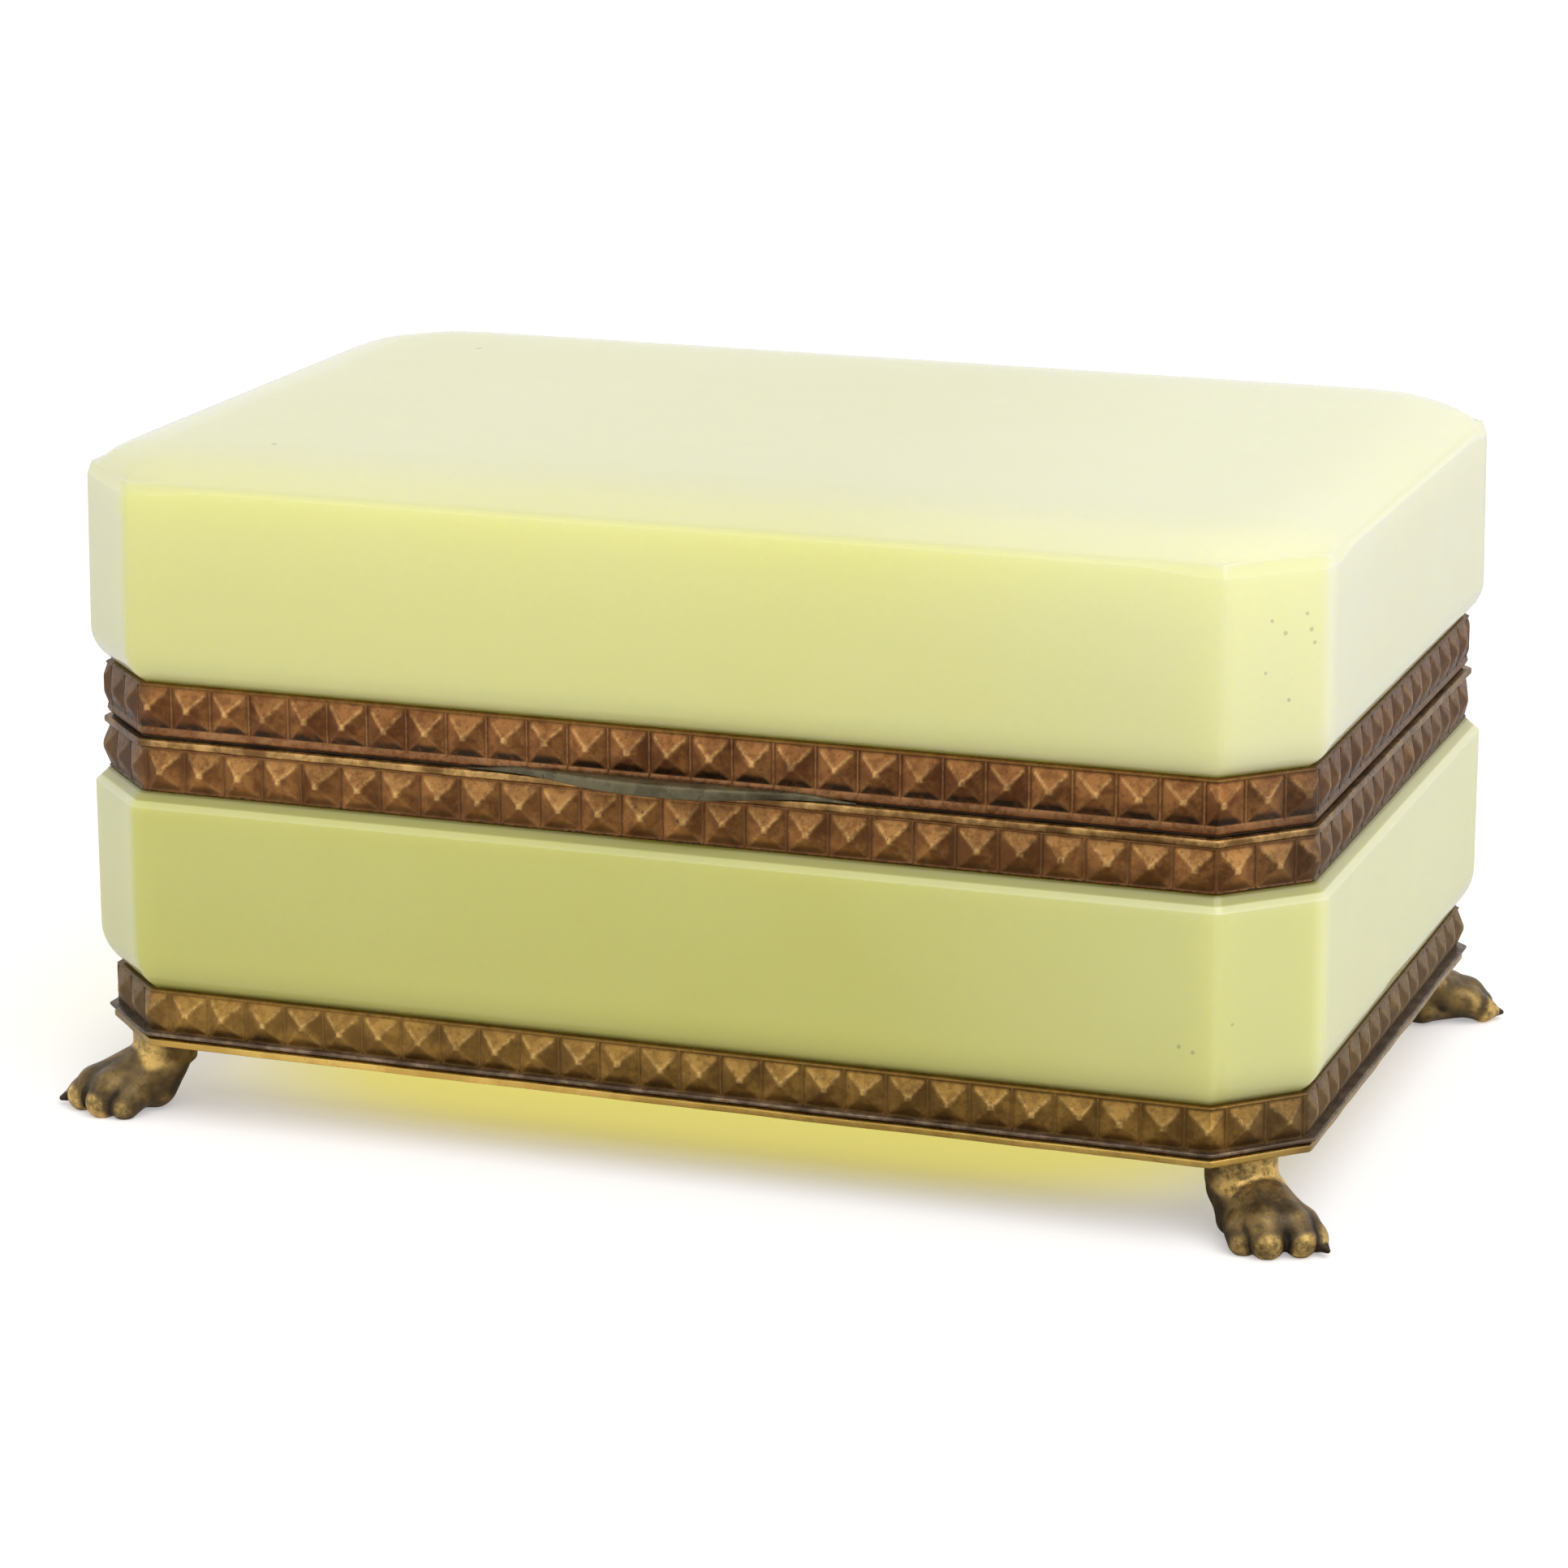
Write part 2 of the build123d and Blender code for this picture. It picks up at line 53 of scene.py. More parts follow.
class Wire:
    # one output of a shader tree; sums, differences and products add their Math nodes
    def __init__(self, tree, socket=None):
        self.tree, self.socket = tree, socket

    def node(self, kind, settings=None, inputs=None, output=0):
        # adds a shader node: settings, then values or links on its sockets
        made = self.tree.nodes.new("ShaderNode" + kind)
        for name, value in (settings or {}).items():
            setattr(made, name, value)
        for name, value in (inputs or {}).items():
            if isinstance(value, Wire):
                self.tree.links.new(value.socket, made.inputs[name])
            else:
                made.inputs[name].default_value = value
        return Wire(self.tree, made.outputs[output])

    def math(self, operation, *operands):
        return self.node("Math", {"operation": operation}, dict(enumerate(operands)))

    def vector(self, operation, *operands, output="Vector"):
        # vector maths; the output Value gives a distance, length or dot product
        values = dict(enumerate(operands))
        return self.node("VectorMath", {"operation": operation}, values, output)

    def __add__(self, other):
        return self.math("ADD", self, other)

    def __rsub__(self, other):
        return self.math("SUBTRACT", other, self)

    def __mul__(self, other):
        return self.math("MULTIPLY", self, other)

    __radd__, __rmul__ = __add__, __mul__

    def span(self, low, high, start=0.0, end=1.0):
        # a smooth step from start to end while the wire goes from low to high
        values = {0: self, 1: low, 2: high, 3: start, 4: end}
        return self.node("MapRange", {"interpolation_type": "SMOOTHSTEP"}, values)

    def tint(self, first, second):
        # a colour that goes from first to second with the wire
        first, second = [c if isinstance(c, Wire) else (*c, 1) for c in (first, second)]
        settings = {"data_type": "RGBA", "clamp_factor": True}
        return self.node("Mix", settings, {0: self, 6: first, 7: second}, 2)


def newMaterial(name, surface):
    # a material with plain values set, a wire for its tree and its shader
    material = bpy.data.materials.new(name)
    material.use_nodes = True
    tree = material.node_tree
    shader = tree.nodes["Principled BSDF"]
    for socket, value in surface.items():
        shader.inputs[socket].default_value = value
    return material, Wire(tree), shader


def join(wire, node, socket):
    # links a wire to a socket
    wire.tree.links.new(wire.socket, node.inputs[socket])


def place(wire):
    # Object coordinates, in metres
    return wire.node("TexCoord", output="Object")


def ray(wire, kind):
    # one for rays of this kind, zero for others
    return wire.node("LightPath", output=f"Is {kind} Ray")


def noise(wire, scale, detail=3.0, roughness=0.5):
    # fractal noise on Object coordinates; scale is in cells per metre
    values = {"Vector": place(wire), "Scale": scale, "Detail": detail, "Roughness": roughness}
    return wire.node("TexNoise", None, values)


def attribute(wire, name):
    # a value that the mesh holds at its points
    return wire.node("Attribute", {"attribute_name": name}, output="Fac")


def bump(wire, height, shader, strength, distance):
    # small relief of this depth
    values = {"Strength": strength, "Distance": distance, "Height": height}
    join(wire.node("Bump", None, values), shader, "Normal")


def dress(piece, material):
    # gives every slot of a mesh one material
    slots = piece.data.materials
    if len(slots) == 0:
        slots.append(material)
    for index in range(len(slots)):
        slots[index] = material


def settle(piece, material, body, slotName, *replaced):
    # a finished piece: its material, body, slot, which is not used, and the nodes that it stands
    # for
    dress(piece, material)
    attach(piece, body)
    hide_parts(*replaced)


# Plan of the casket

bodyLow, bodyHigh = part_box("glass_body")
lidLow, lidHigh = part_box("glass_lid")
plan = {
    "halfLength": bodyHigh.x, "halfWidth": bodyHigh.y,
    "cut": 9.8 * mm,  # length of a cut corner along each wall
    "wall": 8 * mm, "cavityRadius": 10 * mm, "cavityFillet": 4 * mm,
}
sharp = 0.02 * mm  # radius of a corner that looks sharp


def planCorners(inset):
    # the plan's eight corners moved inwards, counterclockwise from the front's left end
    x, y = plan["halfLength"] - inset, plan["halfWidth"] - inset
    cut = plan["cut"] - (2 - 2 ** 0.5) * inset
    right = [(x - cut, -y), (x, cut - y), (x, y - cut), (x - cut, y)]
    left = [(cut - x, y), (-x, y - cut), (-x, cut - y)]
    return np.array([(cut - x, -y)] + right + left)


def mitres():
    # how far each corner moves outwards for each unit of offset
    return planCorners(0.0) - planCorners(1.0)


def bandPath(inset, share):
    # points round the plan for shares of the way round, their outward moves and the way's length
    ways = [np.vstack([table, table[:1]]) for table in (planCorners(inset), mitres())]
    steps = norm(np.diff(ways[0], axis=0), axis=1)
    travelled = np.concatenate([[0.0], np.cumsum(steps)])
    reach = share * travelled[-1]
    points, outward = [np.stack([np.interp(reach, travelled, way[:, k]) for k in (0, 1)], 1)
                       for way in ways]
    return points, outward, travelled[-1]


def glassPath():
    # the plan with small round corners: an arc at each, then even steps to the next
    radius, arcSteps = glass["cornerRadius"], glass["arcSteps"]
    corners, moves = planCorners(0.0), mitres()
    runs = np.roll(corners, -1, 0) - corners
    heading = np.arctan2(runs[:, 1], runs[:, 0])
    turn = np.linspace(-pi / 4, 0, arcSteps)
    angle = heading[:, None] - pi / 2 + turn[None]
    arc = (corners - radius * moves)[:, None] + radius * np.stack([np.cos(angle), np.sin(angle)], 2)
    share = np.linspace(0, 1, glass["longSteps"] + 2)[1:-1]
    start, end = arc[:, -1], np.roll(arc[:, 0], -1, 0)
    straight = start[:, None] + share[None, :, None] * (end - start)[:, None]
    outward = moves[:, None] + share[None, :, None] * (np.roll(moves, -1, 0) - moves)[:, None]
    steady = np.repeat(moves[:, None], arcSteps, 1)
    points = np.concatenate([arc, straight], 1).reshape(-1, 2)
    return points, np.concatenate([steady, outward], 1).reshape(-1, 2)


def cavityPath(count):
    # the cavities' wall in step with the plan's eight sides: a side, then a quarter circle,
    # with count points each
    radius = plan["cavityRadius"]
    x = plan["halfLength"] - plan["wall"] - radius
    y = plan["halfWidth"] - plan["wall"] - radius
    ends = np.array([(-x, -y), (x, -y), (x, y), (-x, y)])
    walk = np.arange(count) / count
    angles, centres = [], []
    for index in range(4):
        start = (index - 1) * pi / 2
        first, second = ends[index], ends[(index + 1) % 4]
        angles += [np.full(count, start), start + walk * pi / 2]
        centres += [first + walk[:, None] * (second - first), np.repeat(second[None], count, 0)]
    angle, centre = np.concatenate(angles), np.concatenate(centres)
    outward = np.stack([np.cos(angle), np.sin(angle)], 1)
    return centre + radius * outward, outward


def roundedLine(points, radii, steps=5):
    # a chain of (inset, height) points whose corners become arcs of the given radii
    points = [np.array(point, float) for point in points]
    line = [points[0]]
    for before, corner, after, radius in zip(points, points[1:], points[2:], radii):
        back, ahead = before - corner, after - corner
        back, ahead = back / norm(back), ahead / norm(ahead)
        half = np.arccos(np.clip(back @ ahead, -1, 1)) / 2
        reach = radius / np.tan(half)
        middle = (back + ahead) / norm(back + ahead)
        centre = corner + middle * radius / np.sin(half)
        start, end = corner + back * reach - centre, corner + ahead * reach - centre
        sweep = pi - 2 * half
        for share in np.linspace(0, 1, steps):
            blend = np.sin((1 - share) * sweep) * start + np.sin(share * sweep) * end
            line.append(centre + blend / np.sin(sweep))
    line.append(points[-1])
    return np.array(line)


# Meshes

def gridFaces(rows, columns, closeRows=False):
    # quads of a grid whose columns run round and close; rows close too when asked
    row = np.arange(rows if closeRows else rows - 1)[:, None]
    column = np.arange(columns)[None]
    following = (column + 1) % columns
    below, above = row * columns, ((row + 1) % rows) * columns
    quads = np.stack([below + column, below + following, above + following, above + column], 2)
    return quads.reshape(-1, 4)


def lifted(flat, height):
    # rows of plan points with one height for each row
    level = np.broadcast_to(height[:, None, None], (*flat.shape[:2], 1))
    return np.concatenate([flat, level], 2)


def makeMesh(name, points, faces, extra=None):
    # a smooth mesh from points, face arrays and named values for its points
    mesh = bpy.data.meshes.new(name)
    mesh.from_pydata(points, [], [face for block in faces for face in block.tolist()])
    mesh.validate()
    mesh.shade_smooth()
    for key, values in (extra or {}).items():
        layer = mesh.attributes.new(key, "FLOAT", "POINT")
        layer.data.foreach_set("value", values.astype(np.float32).reshape(-1))
    piece = bpy.data.objects.new(name, mesh)
    scene.collection.objects.link(piece)
    return piece


def fan(tip, ring, outwards):
    # triangles from one point to a closed ring of points
    following = np.roll(ring, -1)
    order = [np.full(len(ring), tip), ring, following]
    return np.stack(order if outwards else order[::-1], 1)


def cappedMesh(name, grid, low, high, extra, flip=False):
    # a grid of closed rings, closed by a point at each end; extra holds functions of the points
    rows, columns = grid.shape[:2]
    points = np.vstack([grid.reshape(-1, 3), [low], [high]])
    first, last = np.arange(columns), (rows - 1) * columns + np.arange(columns)
    tip = rows * columns
    faces = [gridFaces(rows, columns), fan(tip, first, False), fan(tip + 1, last, True)]
    if flip:
        faces = [block[:, ::-1] for block in faces]
    return makeMesh(name, points, faces, {key: field(points) for key, field in extra.items()})


def ramp(values, low, high):
    # smooth step from 0 at low to 1 at high
    share = np.clip((values - low) / (high - low), 0, 1)
    return share * share * (3 - 2 * share)


def fade(lengths, low, high):
    # the same step between two lengths in millimetres
    return ramp(lengths, low * mm, high * mm)


def refine(line, low, high, step):
    # splits the parts of a line that lie between two heights into short steps
    refined = [line[:1]]
    for start, end in zip(line, line[1:]):
        inside = max(start[1], end[1]) > low and min(start[1], end[1]) < high
        parts = int(np.ceil(norm(end - start) / step)) if inside else 1
        refined.append(start + np.linspace(0, 1, parts + 1)[1:, None] * (end - start))
    return np.concatenate(refined)


def insetOf(points):
    # distance of each point from the plan's edge, inwards
    x, y = np.abs(points[:, 0]), np.abs(points[:, 1])
    length, width = plan["halfLength"], plan["halfWidth"]
    return np.min([length - x, width - y, (length + width - plan["cut"] - x - y) / 2 ** 0.5], 0)


def endDarkening(points):
    # darker and greyer towards the ends: most on the left, some on the right cut corners and end
    x = points[:, 0]
    return fade(-x, 62, 68) + 0.5 * fade(x, 66, 71) + 0.4 * fade(x, 72.5, 74)


# Glass

glass = {
    "cornerRadius": 1.5 * mm, "arcSteps": 9, "longSteps": 30,
    "scatter": (1.0, 0.98, 0.42),  # relative distances that red, green and blue go inside
    "scatterScale": 9 * mm,
    "shadowTint": (0.94, 0.925, 0.68),
    "speck": (0.1, 0.09, 0.03),
}
# lid and body are one glass in two colours, lit and shaded copies: the lid's lighter colours are
# painted light
glassColours = {
    "lid": {"yellow": (0.88, 0.875, 0.38), "paintedLight": (1, 0.995, 0.69), "paintedShade": (0.26, 0.24, 0.04)},
    "body": {"yellow": (0.66, 0.65, 0.205), "paintedLight": (0.85, 0.86, 0.48),
             "paintedShade": (0.28, 0.24, 0.04)},
}
# dark specks in the glass by how dark they are: place and radius in mm
specks = {
    0.4: [(-52.4, -35.4, 80.9, 0.45)],
    0.35: [(-53.9, 29.0, 81.0, 0.5), (19.1, 41.6, 80.8, 0.5)],
    0.32: [
        (74.6, -0.4, 79.0, 0.4), (69.9, -44.5, 71.5, 0.3), (71.1, -43.3, 70.0, 0.35),
        (73.0, -41.4, 71.9, 0.3), (73.4, -41.0, 70.1, 0.35), (73.7, -40.7, 68.6, 0.3),
        (69.4, -45.0, 65.8, 0.25), (71.5, -42.9, 62.5, 0.3), (61.6, -48.9, 23.8, 0.3),
        (63.2, -48.9, 23.3, 0.3), (67.1, -47.3, 26.5, 0.3),
    ],
}


def glassMaterial(name, colours):
    # milky glass: light scatters in it and comes out tinted, under a polished skin
    surface = {"Subsurface Weight": 1.0, "Subsurface Radius": glass["scatter"], "IOR": 1.5}
    surface["Subsurface Scale"] = glass["scatterScale"]
    material, wire, shader = newMaterial(name, surface)
    cloud = noise(wire, 22, 3, 0.55).span(0.3, 0.7, -0.06, 0.06)
    # paler where light is painted on
    skin = (attribute(wire, "paintedLight") + cloud).tint(colours["yellow"], colours["paintedLight"])
    # darker where shade is painted on
    skin = attribute(wire, "paintedShade").tint(skin, colours["paintedShade"])
    for depth, spots in specks.items():
        for *centre, radius in (np.array(spots) * mm).tolist():
            far = wire.vector("DISTANCE", place(wire), centre, output="Value")
            skin = far.span(0.5 * radius, radius, depth, 0).tint(skin, glass["speck"])
    join(skin, shader, "Base Color")
    join(noise(wire, 90).span(0.3, 0.8, 0.05, 0.14), shader, "Roughness")
    bump(wire, noise(wire, 40, 2), shader, 0.2, 0.4 * mm)
    # lamps shine through it into the casket, tinted
    through = wire.node("BsdfTransparent", None, {"Color": (*glass["shadowTint"], 1)})
    milky = Wire(wire.tree, shader.outputs[0])
    parts = {0: ray(wire, "Shadow"), 1: milky, 2: through}
    mixed = wire.node("MixShader", None, parts)
    join(mixed, wire.tree.nodes["Material Output"], "Surface")
    return material


# painted light: how much paler the glass gets, and between which millimetres
paintedLightShares = {
    "along": (0.45, 15, 64), "leftCut": (0.8, 65.2, 67), "rightCut": (0.5, 65, 67),
    "rightEnd": (0.45, 74, 75.2), "topAlong": (0.3, -20, 70), "topEdge": (0.2, 3, 12),
    "top": 0.5, "topRise": (-3.1, -2.8),
    "lowShare": 0.55,  # how much of the first is left low on the walls
    "bodyRise": (0, 16), "lidRise": (4, 18),
}


def paintedLightField(points):
    # painted light: paler towards the right, on the ends and cut corners and all over the lid's
    # top, as painted highlight, reflection and sheen
    def part(key, lengths):
        share, low, high = paintedLightShares[key]
        return share * fade(lengths, low, high)

    x, height = points[:, 0], points[:, 2]
    raised = fade(height - lidLow.z, *paintedLightShares["lidRise"])
    raised = np.where(height < lidLow.z, fade(height - bodyLow.z, *paintedLightShares["bodyRise"]), raised)
    lowShare = paintedLightShares["lowShare"]
    along = part("along", x) * (lowShare + (1 - lowShare) * raised)
    right = part("rightCut", x) + part("rightEnd", x)
    edge = paintedLightShares["topEdge"][0] - part("topEdge", insetOf(points))
    top = paintedLightShares["top"] + part("topAlong", x) + edge
    top = top * fade(height - lidHigh.z, *paintedLightShares["topRise"])
    return np.max([along, part("leftCut", -x), right, top], 0)


def shellGrid(outer, inner, floorSteps=6):
    # rings of a thick shell: from the middle of its closed face out, down the outer line, over
    # the rim and along the cavity to its middle; outer may hold a line for each point of the path
    edge, edgeMove = glassPath()
    wall, wallMove = cavityPath(glass["arcSteps"] + glass["longSteps"])
    if outer.ndim == 2:
        outer = np.repeat(outer[:, None], len(edge), 1)
    outerRings = edge[None] - outer[:, :, :1] * edgeMove[None]
    outerRings = np.concatenate([outerRings, outer[:, :, 1:]], 2)
    innerRings = wall[None] - (inner[:, 0] - plan["wall"])[:, None, None] * wallMove[None]
    innerRings = lifted(innerRings, inner[:, 1])
    shrink = np.linspace(0, 1, floorSteps + 1)[1:-1][:, None, None]
    start, end = outerRings[0][None] * shrink, innerRings[-1][None] * shrink[::-1]
    start[:, :, 2], end[:, :, 2] = outerRings[0, :, 2], innerRings[-1, :, 2]
    return np.concatenate([start, outerRings, innerRings, end])


def cavityLine(rim, end):
    # the cavity's wall from its rim to the fillet onto its end
    wall = plan["wall"]
    line = [(wall, rim), (wall, end), (wall + 20 * mm, end)]
    return roundedLine(line, [plan["cavityFillet"]], 7)[:-1]


bodyGlass = {
    "neck": 6.5 * mm,  # inset of the foot that stands in the base collar
    "lowerRound": 6.4 * mm, "shoulder": 1.6 * mm, "upperNeck": 5.0 * mm,
    "floor": 8.0 * mm, "edge": 0.25 * mm, "step": 0.12 * mm,
    "shadeBand": 0.95 * mm,  # height of the band of painted shade under the body's collar
    "paintedShade": 0.5, "lowShade": 0.09,  # how dark the painted shade is in that band and at the foot, and low on the walls
    # shares of the painted light and of the painted highlight line
    "paintedLightShare": 0.9, "paintedHighlightLine": 0.24,
}


def buildBodyGlass():
    # outer line: foot, lower rounding, wall, bevelled shoulder and neck
    size = bodyGlass
    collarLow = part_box("body_collar")[0].z
    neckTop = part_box("base_cement")[1].z
    low, high = bodyLow.z, bodyHigh.z
    outline = [(size["neck"], low), (size["neck"], neckTop), (0, neckTop)]
    outline += [(0, collarLow - size["shoulder"]), (size["shoulder"], collarLow)]
    outline += [(size["upperNeck"], collarLow), (size["upperNeck"], high)]
    radii = [sharp, size["lowerRound"], size["edge"], size["edge"], sharp]
    outer = roundedLine(outline, radii, 12)
    shoulderLow, bandLow = collarLow - size["shoulder"], collarLow - size["shadeBand"]
    outer = refine(outer, shoulderLow - 0.3 * mm, collarLow, size["step"])
    bottom = low + size["floor"]

    def paintedLight(points):
        # a painted highlight line along the shoulder's lower edge
        height = points[:, 2]
        line = fade(height - shoulderLow, -0.12, 0.02) * (1 - fade(height - bandLow, -0.1, 0.05))
        return size["paintedLightShare"] * paintedLightField(points) + size["paintedHighlightLine"] * line

    def paintedShade(points):
        # painted shade: darker under the collar, low on the walls and at the foot
        height = points[:, 2]
        parts = fade(height - bandLow, -0.1, 0.1) + fade(height - collarLow, -0.3, -0.1)
        parts = parts + 1 - fade(height - neckTop, 0.4, 2.6)
        walls = size["lowShade"] * (1 - ramp(height, neckTop, shoulderLow))
        return (size["paintedShade"] * parts + walls) * (insetOf(points) < size["neck"] + 0.1 * mm)

    extra = {"paintedLight": paintedLight, "paintedShade": paintedShade}
    grid = shellGrid(outer, cavityLine(high, bottom))
    return cappedMesh("body_glass", grid, (0, 0, low), (0, 0, bottom), extra)


lidGlass = {
    "upperNeck": 5.0 * mm, "lowerRound": 4.9 * mm, "lean": 0.3 * mm, "bevelInset": 0.5 * mm,
    "bevel": 1.5 * mm,  # height of the bevel round the cut corners
    "longBevel": 0.7 * mm,  # its height along the walls
    "bevelReach": 10 * mm,  # how far it stays tall beside a corner
    "crownRise": 2.9 * mm, "crownWidth": 3 * mm, "crownSoft": 1.2 * mm,
    "crownInsets": (12.0, 9.5, 7.5, 5.8, 4.4, 3.2, 2.2, 1.4, 0.8, 0.35),  # its rings, in mm
    "crownSteps": 10,  # from the middle to the first ring
    "top": 8.0 * mm,
    "collarShade": 0.75, "lowShade": 0.14,  # how dark the painted shade is at the collar and low on the walls
    "crownShade": (0.25, 0.11),  # painted shade on the crown, and how much less at its right end
}


def crownHeight(points, edge):
    # the crown's height over the bevel: it rises fast near the edge and levels off, by a soft
    # least distance to the eight walls so that no mitre line shows
    corners = planCorners(0.0)
    runs = np.roll(corners, -1, 0) - corners
    inward = np.stack([-runs[:, 1], runs[:, 0]], 1) / norm(runs, axis=1)[:, None]
    distance = np.einsum("...k,ik->...i", points, inward) - np.einsum("ik,ik->i", corners, inward)
    soft = lidGlass["crownSoft"]
    nearest = -soft * np.log(np.exp(-distance / soft).sum(-1))
    share = np.exp(-np.maximum(nearest - edge, 0) / lidGlass["crownWidth"])
    return lidGlass["crownRise"] * (1 - share)


def buildLidGlass():
    # outer line from the crown's edge: bevel, leaning wall, lower rounding and neck; the bevel
    # is taller at the cut corners
    size = lidGlass
    low, high = lidLow.z, lidHigh.z
    bevelTop = high - size["crownRise"]
    edge = size["lean"] + size["bevelInset"]
    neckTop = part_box("lid_cement")[1].z
    lines = []
    for tall in (size["longBevel"], size["bevel"]):
        outline = [(edge + 0.5 * mm, bevelTop + 0.4 * mm), (edge, bevelTop)]
        outline += [(size["lean"], bevelTop - tall), (0, neckTop)]
        outline += [(size["upperNeck"], neckTop), (size["upperNeck"], low)]
        radii = [0.12 * mm, 0.25 * mm, size["lowerRound"], sharp]
        lines.append(roundedLine(outline, radii, 12)[1:])
    edgePath = glassPath()[0]
    onCut = np.abs(edgePath).sum(1) - (plan["halfLength"] + plan["halfWidth"] - plan["cut"])
    corner = ramp(onCut, -size["bevelReach"], -0.2 * size["bevelReach"])[None, :, None]
    outer = lines[0][:, None] * (1 - corner) + lines[1][:, None] * corner
    insets = edge + np.array(size["crownInsets"]) * mm
    crown = np.stack([insets, np.full(len(insets), bevelTop)], 1)
    outer = np.concatenate([np.repeat(crown[:, None], len(edgePath), 1), outer])
    ceiling = high - size["top"]
    grid = shellGrid(outer, cavityLine(low, ceiling), size["crownSteps"])
    crownRows = size["crownSteps"] - 1 + len(insets)
    grid[:crownRows, :, 2] = bevelTop + crownHeight(grid[:crownRows, :, :2], edge)

    def paintedShade(points):
        # painted shade: darker at the lid's collar, low on the walls and a little on the crown
        height = points[:, 2]
        line = size["collarShade"] * (1 - fade(height - neckTop, 0.1, 0.9))
        walls = size["lowShade"] * (1 - ramp(height, neckTop, bevelTop - 3 * mm))
        outside = insetOf(points) < size["upperNeck"] + 0.1 * mm
        most, less = size["crownShade"]
        crown = fade(height - bevelTop, -0.8, -0.1) * (most - less * fade(points[:, 0], 10, 70))
        return (line + walls) * outside + crown

    extra = {"paintedLight": paintedLightField, "paintedShade": paintedShade}
    return cappedMesh("lid_glass", grid, (0, 0, high), (0, 0, ceiling), extra, flip=True)


# Stamped strips

strip = {
    "inset": 1.8 * mm, "thickness": 0.8 * mm, "pitch": 5.0 * mm, "rise": 1.0 * mm,
    "bar": 0.026,  # half width of the upright bars between pyramids, in pitches
    "groove": 0.05,  # where each pyramid starts, in pitches from a bar's middle
    "barRise": 0.12 * mm, "borderRise": 0.16 * mm, "borderGap": 0.05 * mm,
    "softness": 12.0, "tipShift": 0.08,
    "uneven": 0.22,  # share of its height that a pyramid may lack
    "blunt": 0.88, "bluntShare": 0.3,  # height from which tips are worn down, and how much is left
    "ridgeWidth": 0.17, "dullest": 0.45, "lowRidge": 0.16,  # bright ridges; least brightness
    # bright ridges; least brightness; how bright their lower half stays beside the painted
    # highlight on the upper half
    "valley": 0.4, "seed": 7, "faceRows": 24,
}


def pyramids(along, up, count, seed):
    # pyramids between upright bars: height is one minus the larger of the two distances from the
    # tip, softened; tips are a little off their places
    random = np.random.default_rng(seed)
    index = np.floor(along).astype(int) % count
    shift = random.normal(0, strip["tipShift"], (2, count))
    tall = 1 - strip["uneven"] * random.random(count)
    bright = strip["dullest"] + (1 - strip["dullest"]) * random.random(count)
    beside = along - np.floor(along) - 0.5
    side = beside / (0.5 - strip["groove"])
    rise = 2 * up - 1
    tipX, tipY = shift[0][index], shift[1][index] * 0.6
    acrossX, acrossY = [np.where(spot > tip, (spot - tip) / (1 - tip), (tip - spot) / (1 + tip))
                        for spot, tip in ((side, tipX), (rise, tipY))]
    power, blunt = strip["softness"], strip["blunt"]
    far = (acrossX ** power + acrossY ** power) ** (1 / power)
    height = np.clip(1 - far, 0, 1)
    worn = blunt + (height - blunt) * strip["bluntShare"]
    height = np.where(height > blunt, worn, height)
    fromBar = 0.5 - np.abs(beside)
    bar = 1 - ramp(fromBar, strip["bar"] * 0.75, strip["bar"] * 1.1)
    # gold on the ridges, with a painted highlight on their upper half; painted sky light on the
    # upper face; painted shade low on the lower face and dirt in the grooves
    upper = ramp(rise - tipY, -0.15, 0.1)
    arm = 1 - np.clip(np.abs(acrossX - acrossY) / strip["ridgeWidth"], 0, 1)
    # painted highlight: the ridges brighter on their upper half
    arm = arm * (strip["lowRidge"] + (1 - strip["lowRidge"]) * upper)
    arm = arm * ramp(height, 0.02, 0.2) * bright[index]
    gold = np.maximum(arm, 1 - ramp(far, 0.1, 0.2))
    steep = ramp(acrossY - acrossX, 0.0, 0.12)
    # painted light: the upper face lighter, as lit from the sky
    sky = ramp(rise - tipY, 0, 0.05) * steep
    # painted shade low on the lower face; the grooves hold dirt
    foot = ramp(tipY - rise, 0, 0.05) * steep * ramp(acrossY, 0.5, 0.8)
    valley = 1 - ramp(fromBar, strip["groove"] + 0.01, strip["groove"] + 0.03)
    grimeAndShade = np.maximum(foot, strip["valley"] * (1 - bar) * valley)
    relief = height * tall[index] * strip["rise"] + bar * strip["barRise"]
    return relief, {"gold": gold, "sky": sky, "grimeAndShade": grimeAndShade, "bar": bar}


